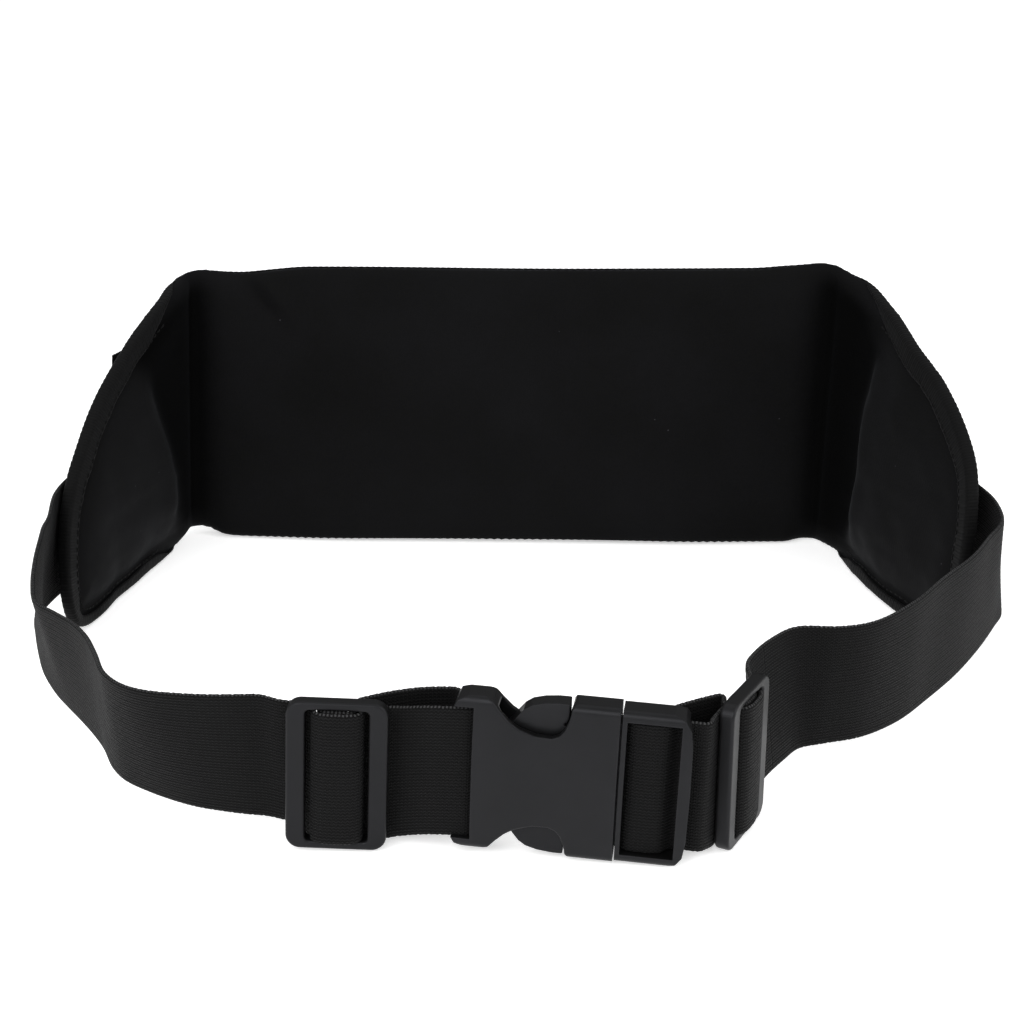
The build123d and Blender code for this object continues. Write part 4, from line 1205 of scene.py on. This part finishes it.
LEFT_RETURN = [
    (-13.2, -111.8, -13.2, -111.8, 4.6), (-14.6, -108.9, -14.6, -108.6, 4.2),
    (-18.4, -107.8, -18.4, -107.4, 3.8), (-24.5, -107.8, -24.5, -107.4, 3.6),
    (-32.0, -109.8, -32.0, -109.5, 3.5), (-38.0, -112.5, -38.0, -112.3, 3.4),
    (-41.6, -114.9, -41.6, -114.9, 3.4)]
RIGHT_FREE = [
    (150.6, 45.0, 148.2, 45.0, 15.8, 55.2), (159.2, 36.0, 152.6, 33.0, 14.0, 55.0),
    (164.9, 27.0, 155.4, 22.0, 11.5, 54.5), (166.2, 18.6, 158.4, 12.0, 9.0, 53.0),
    (161.2, 9.4, 158.9, 1.4, 8.0, 50.0), (152.4, -6.4, 152.0, -9.6, 7.0, 48.0),
    (142.2, -22.4, 144.4, -20.6, 6.0, 46.0), (129.2, -39.4, 131.8, -36.0, 5.2, 44.8),
    (116.0, -55.4, 119.0, -53.4, 5.0, 44.0), (102.8, -65.4, 105.0, -66.5, 5.0, 43.3),
    (92.0, -69.0, 94.6, -69.8, 5.0, 43.0), (84.0, -72.0, 82.2, -69.8, 4.9, 42.9),
    (78.0, -79.2, 74.2, -77.0, 4.5, 42.7), (72.2, -87.5, 68.0, -85.6, 3.9, 42.2),
    (69.0, -93.4, 65.0, -92.0, 3.3, 41.7)]
RIGHT_RETURN = [
    (42.2, -118.5, 42.2, -118.3, 3.2), (47.6, -114.6, 47.6, -114.4, 3.2),
    (52.6, -111.6, 52.6, -111.4, 3.1), (55.8, -110.0, 55.8, -109.8, 3.0),
    (56.9, -110.7, 56.9, -110.7, 2.9), (56.6, -112.4, 56.6, -112.4, 2.8)]

# each strap: wing, free run, adjuster, buckle, and back to the adjuster's bar
left_rows = (wing_rows("left", (72.0, 64.0, 56.0, 48.0, 40.0), low=12.6)
             + free_rows(LEFT_FREE) + over_bar(LEFT_ADJUSTER, 1)[1:] + socket_rows()
             + free_rows(LEFT_RETURN) + sewn_end(LEFT_ADJUSTER, 1))
right_rows = (wing_rows("right", (86.0, 78.0, 70.0, 62.0, 55.0), low=17.0)
              + free_rows(RIGHT_FREE) + over_bar(RIGHT_ADJUSTER, -1) + plug_rows()
              + free_rows(RIGHT_RETURN) + sewn_end(RIGHT_ADJUSTER, -1))

# ------------------------------------------------------------------ strap meshes
STRAP_STEP = 0.62
RIBS, POINTS_PER_RIB = 21, 4


def middle_line(rows):
    """Columns: middle x, y; x, y from the lower to the upper edge; lower z, upper z."""
    rows = np.array(rows, float)
    low, high = rows[:, :3], rows[:, 3:]
    line = np.column_stack([(low[:, :2] + high[:, :2]) / 2, high[:, :2] - low[:, :2],
                            low[:, 2], high[:, 2]])
    line, _ = resample(curve(line, 0.8), STRAP_STEP)
    return np.concatenate([smooth(line[:, :2], 1), smooth(line[:, 2:], 6)], 1)


def add_strap(name, line, part=slice(None), seed=0):
    """Ribbed elastic strap over one part of a middle line."""
    travelled = (np.arange(len(line)) * STRAP_STEP)[:, None]
    normal = left_normal(smooth(np.gradient(line[:, :2], axis=0), 2))
    share = np.linspace(0, 1, RIBS * POINTS_PER_RIB + 1)
    rib = 0.035 * np.cos(2 * np.pi * share * RIBS)
    edge = np.minimum(share, 1 - share) * WEB_WIDTH
    half = WEB_HALF * np.sqrt(1 - (1 - np.clip(edge / WEB_HALF, 0, 1)) ** 2)
    half = np.maximum(half + rib * (half > 0.5 * WEB_HALF) - 0.08, 0.04)

    # scalloped edges, and a slow twist on the free part
    scallop = 0.22 * np.abs(np.sin(np.pi * travelled / 1.55))
    at_edges = np.exp(-(1 - share) * WEB_WIDTH / 0.7) - np.exp(-share * WEB_WIDTH / 0.7)
    low, high = line[:, 4:5], line[:, 5:6]
    z = low + (high - low) * share + scallop * at_edges
    twist = 0.3 * value_noise(travelled / 30, 0.0, 35 + seed) * ease(travelled, 30, 60)
    twist = twist * (share - 0.5) * 2

    faces = []
    for sign in (1, -1):
        plan = line[:, None, :2] + line[:, None, 2:4] * (share - 0.5)[:, None]
        plan = plan + normal[:, None] * (sign * half + twist)[..., None]
        faces.append(metres(np.concatenate([plan, z[..., None]], -1))[part])
    uv = np.stack(np.broadcast_arrays(travelled, share * WEB_WIDTH), -1) * 0.001
    return add_sheet(name, *faces, elastic, uv[part])


def blend_strap(strap):
    """Bake the strap's transform into its mesh."""
    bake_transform(strap)


left_line = middle_line(left_rows)
left_strap = add_strap("strap_left", left_line)
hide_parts("web_left")
blend_strap(left_strap)

# the right strap is split where it first passes this point, before its adjuster
SPLIT_POINT = (73.6, -84.0)
right_line = middle_line(right_rows)
split_gap = np.linalg.norm(right_line[:, :2] - np.array(SPLIT_POINT), axis=1)
split_gap[np.arange(len(right_line)) >= (len(right_line) - 1) * 0.75] = 1e9
split = int(np.argmin(split_gap))
right_reach, right_loop = slice(0, split + 1), slice(split, None)
right_strap = add_strap("strap_right", right_line, right_reach, seed=5)
right_loop_strap = add_strap("strap_right_loop", right_line, right_loop, seed=5)
for strap in (right_strap, right_loop_strap):
    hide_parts("web_right")

blend_strap(right_strap)
loop_line = right_line[right_loop]
on_adjuster = RIGHT_ADJUSTER.along(loop_line)
loop_weights = (1 - ease(on_adjuster, 14.0, 30.0)) * ease(on_adjuster, -24.0, -14.5)
loop_weights[BUCKLE.along(loop_line) < 20.5] = 0.0    # the part held by the plug
blend_strap(right_loop_strap)


# ------------------------------------------------------------------ strap stitching
def box_stitch(name, side, y_ends, z_ends, node):
    """A crossed box of stitches that holds the strap to a wing."""
    pitch, length, lead = 2.6, 1.9, 0.12
    (y0, y1), (z0, z1) = y_ends, z_ends
    lines = [((y0, z0), (y1, z0)), ((y0, z1), (y1, z1)), ((y0, z0), (y0, z1)),
             ((y1, z0), (y1, z1)), ((y0, z0), (y1, z1)), ((y0, z1), (y1, z0))]
    starts, ends = [], []
    for first, last in np.array(lines):
        count = int(np.linalg.norm(last - first) / pitch)
        k = np.arange(count)[:, None] + lead
        starts.append(first + (last - first) * k / count)
        ends.append(first + (last - first) * (k + length / pitch) / count)
    starts, ends = np.concatenate(starts), np.concatenate(ends)
    out = POUCH_DEPTH + WEB_LIFT + WEB_THICKNESS + 0.1
    along = along_at(starts[:, 0], side)
    stitches = add_threads(
        name, on_pouch(along, starts[:, 1], out),
        on_pouch(along_at(ends[:, 0], side), ends[:, 1], out), outward(along), radius=0.26)
    attach(stitches, "thread", "pouch", node)


def bar_tack(name, adjuster, side, node, body):
    """Zigzag stitches down the sewn end at an adjuster's bar."""
    y = ADJUSTER_BAR_Y + INNER_Y + WEB_HALF + 0.18
    z = np.arange(-15.0, 15.0, 0.7)
    even = np.arange(len(z)) % 2 == 0
    starts = adjuster.point(side * np.where(even, -0.9, 1.9), y, z)
    ends = adjuster.point(side * np.where(even, 1.9, -0.9), y, z + 0.5)
    out = np.tile(adjuster.axes[1], (len(z), 1))
    tack = add_threads(name, metres(starts), metres(ends), out, radius=0.3, bow=0.15)
    attach(tack, "thread", body, node)


box_stitch("box_stitch_left", "left", (68.0, 44.0), (16.0, 47.5), "stitching_left_wing")
box_stitch("box_stitch_right", "right", (82.0, 58.0), (20.5, 51.5), "stitching_right_wing")
bar_tack("tack_left", LEFT_ADJUSTER, 1, "bar_tack_left", "adjuster_l")
bar_tack("tack_right", RIGHT_ADJUSTER, -1, "bar_tack_right", "adjuster_r")

# ------------------------------------------------------------------ kept CAD nodes
NYLON_NODES = ("adjuster_left", "adjuster_right", "buckle_socket", "buckle_plug",
               "prong_upper", "prong_lower")
METAL_NODES = ("zip_slider", "zip_pull", "zip_stop_left", "zip_stop_right")
for nodes, material in ((NYLON_NODES, nylon), (METAL_NODES, zip_paint)):
    for node in nodes:
        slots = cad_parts[node].data.materials
        slots.clear()
        slots.append(material)


# ------------------------------------------------------------------ floor, light, camera
# Places and sizes here are in metres, powers in watts.
def add_floor():
    bpy.ops.mesh.primitive_plane_add(size=14.0, location=(0, 0, -0.0004))
    floor = bpy.context.object
    floor.name = "floor"
    material, graph, shader = new_material("floor_pale")
    tone = graph.noise(graph.coordinates(), scale=3.0)
    graph.feed(shader, {
        "Base Color": graph.ramp(tone, (0.3, grey(0.93)), (0.7, grey(0.95))),
        "Roughness": 0.85,
        "Specular IOR Level": 0.1,
        "Emission Color": (1, 1, 1, 1),
        "Emission Strength": 0.5,
    })
    floor.data.materials.append(material)


def set_world():
    """White surroundings: even to the camera, shaded by direction as a light."""
    world = bpy.data.worlds.new("studio")
    bpy.context.scene.world = world
    world.use_nodes = True
    graph = Graph(world.node_tree)
    rays = graph.node("LightPath")
    x, y, z = graph.split(graph.coordinates("Generated"))
    # dimmer overhead and towards +Y, brighter to both sides
    sky = graph.times(graph.map_range(z, source=(0.0, 0.9), target=(1.0, 0.75)),
                      graph.map_range(y, source=(-0.6, 0.5), target=(0.95, 0.4)))
    sky = graph.times(sky, graph.times_add(graph.times(x, x), 1.15, 0.75))
    seen = 1.05    # strength to the camera
    strength = graph.times_add(graph.subtract(seen, sky),
                               rays.outputs["Is Camera Ray"], sky)
    graph.feed(world.node_tree.nodes["Background"], {0: (1, 1, 1, 1), 1: strength})


def add_area_light(name, location, target, size, power):
    light = bpy.data.lights.new(name, "AREA")
    light.shape = "RECTANGLE"
    light.size, light.size_y = size
    light.energy = power
    lamp = bpy.data.objects.new(name, light)
    lamp.location = location
    lamp.rotation_mode = "QUATERNION"
    lamp.rotation_quaternion = (Vector(target) - Vector(location)).to_track_quat("-Z", "Y")
    bpy.context.scene.collection.objects.link(lamp)


def add_camera():
    data = bpy.data.cameras.new("camera")
    data.sensor_width = 36.0
    data.lens = 63.2109375
    data.clip_start, data.clip_end = 0.01, 50.0
    camera = bpy.data.objects.new("camera", data)
    camera.location = metres((0.0, -545.0, 251.0)).tolist()
    camera.rotation_mode = "XYZ"
    camera.rotation_euler = (math.radians(70.0), 0.0, 0.0)
    bpy.context.scene.collection.objects.link(camera)
    bpy.context.scene.camera = camera


add_floor()
set_world()
add_area_light("key", location=(-0.45, -1.0, 0.8), target=(0, -0.05, 0.03),
               size=(0.9, 0.7), power=9.0)
add_area_light("fill", location=(0.9, -0.5, 0.7), target=(0, 0, 0.03),
               size=(0.8, 0.8), power=4.5)
add_area_light("top", location=(0.0, 0.25, 1.3), target=(0, 0, 0.03),
               size=(1.4, 1.0), power=4.0)
add_camera()

view = bpy.context.scene.view_settings
view.view_transform = "Standard"
view.look = "None"
view.exposure = 0.0
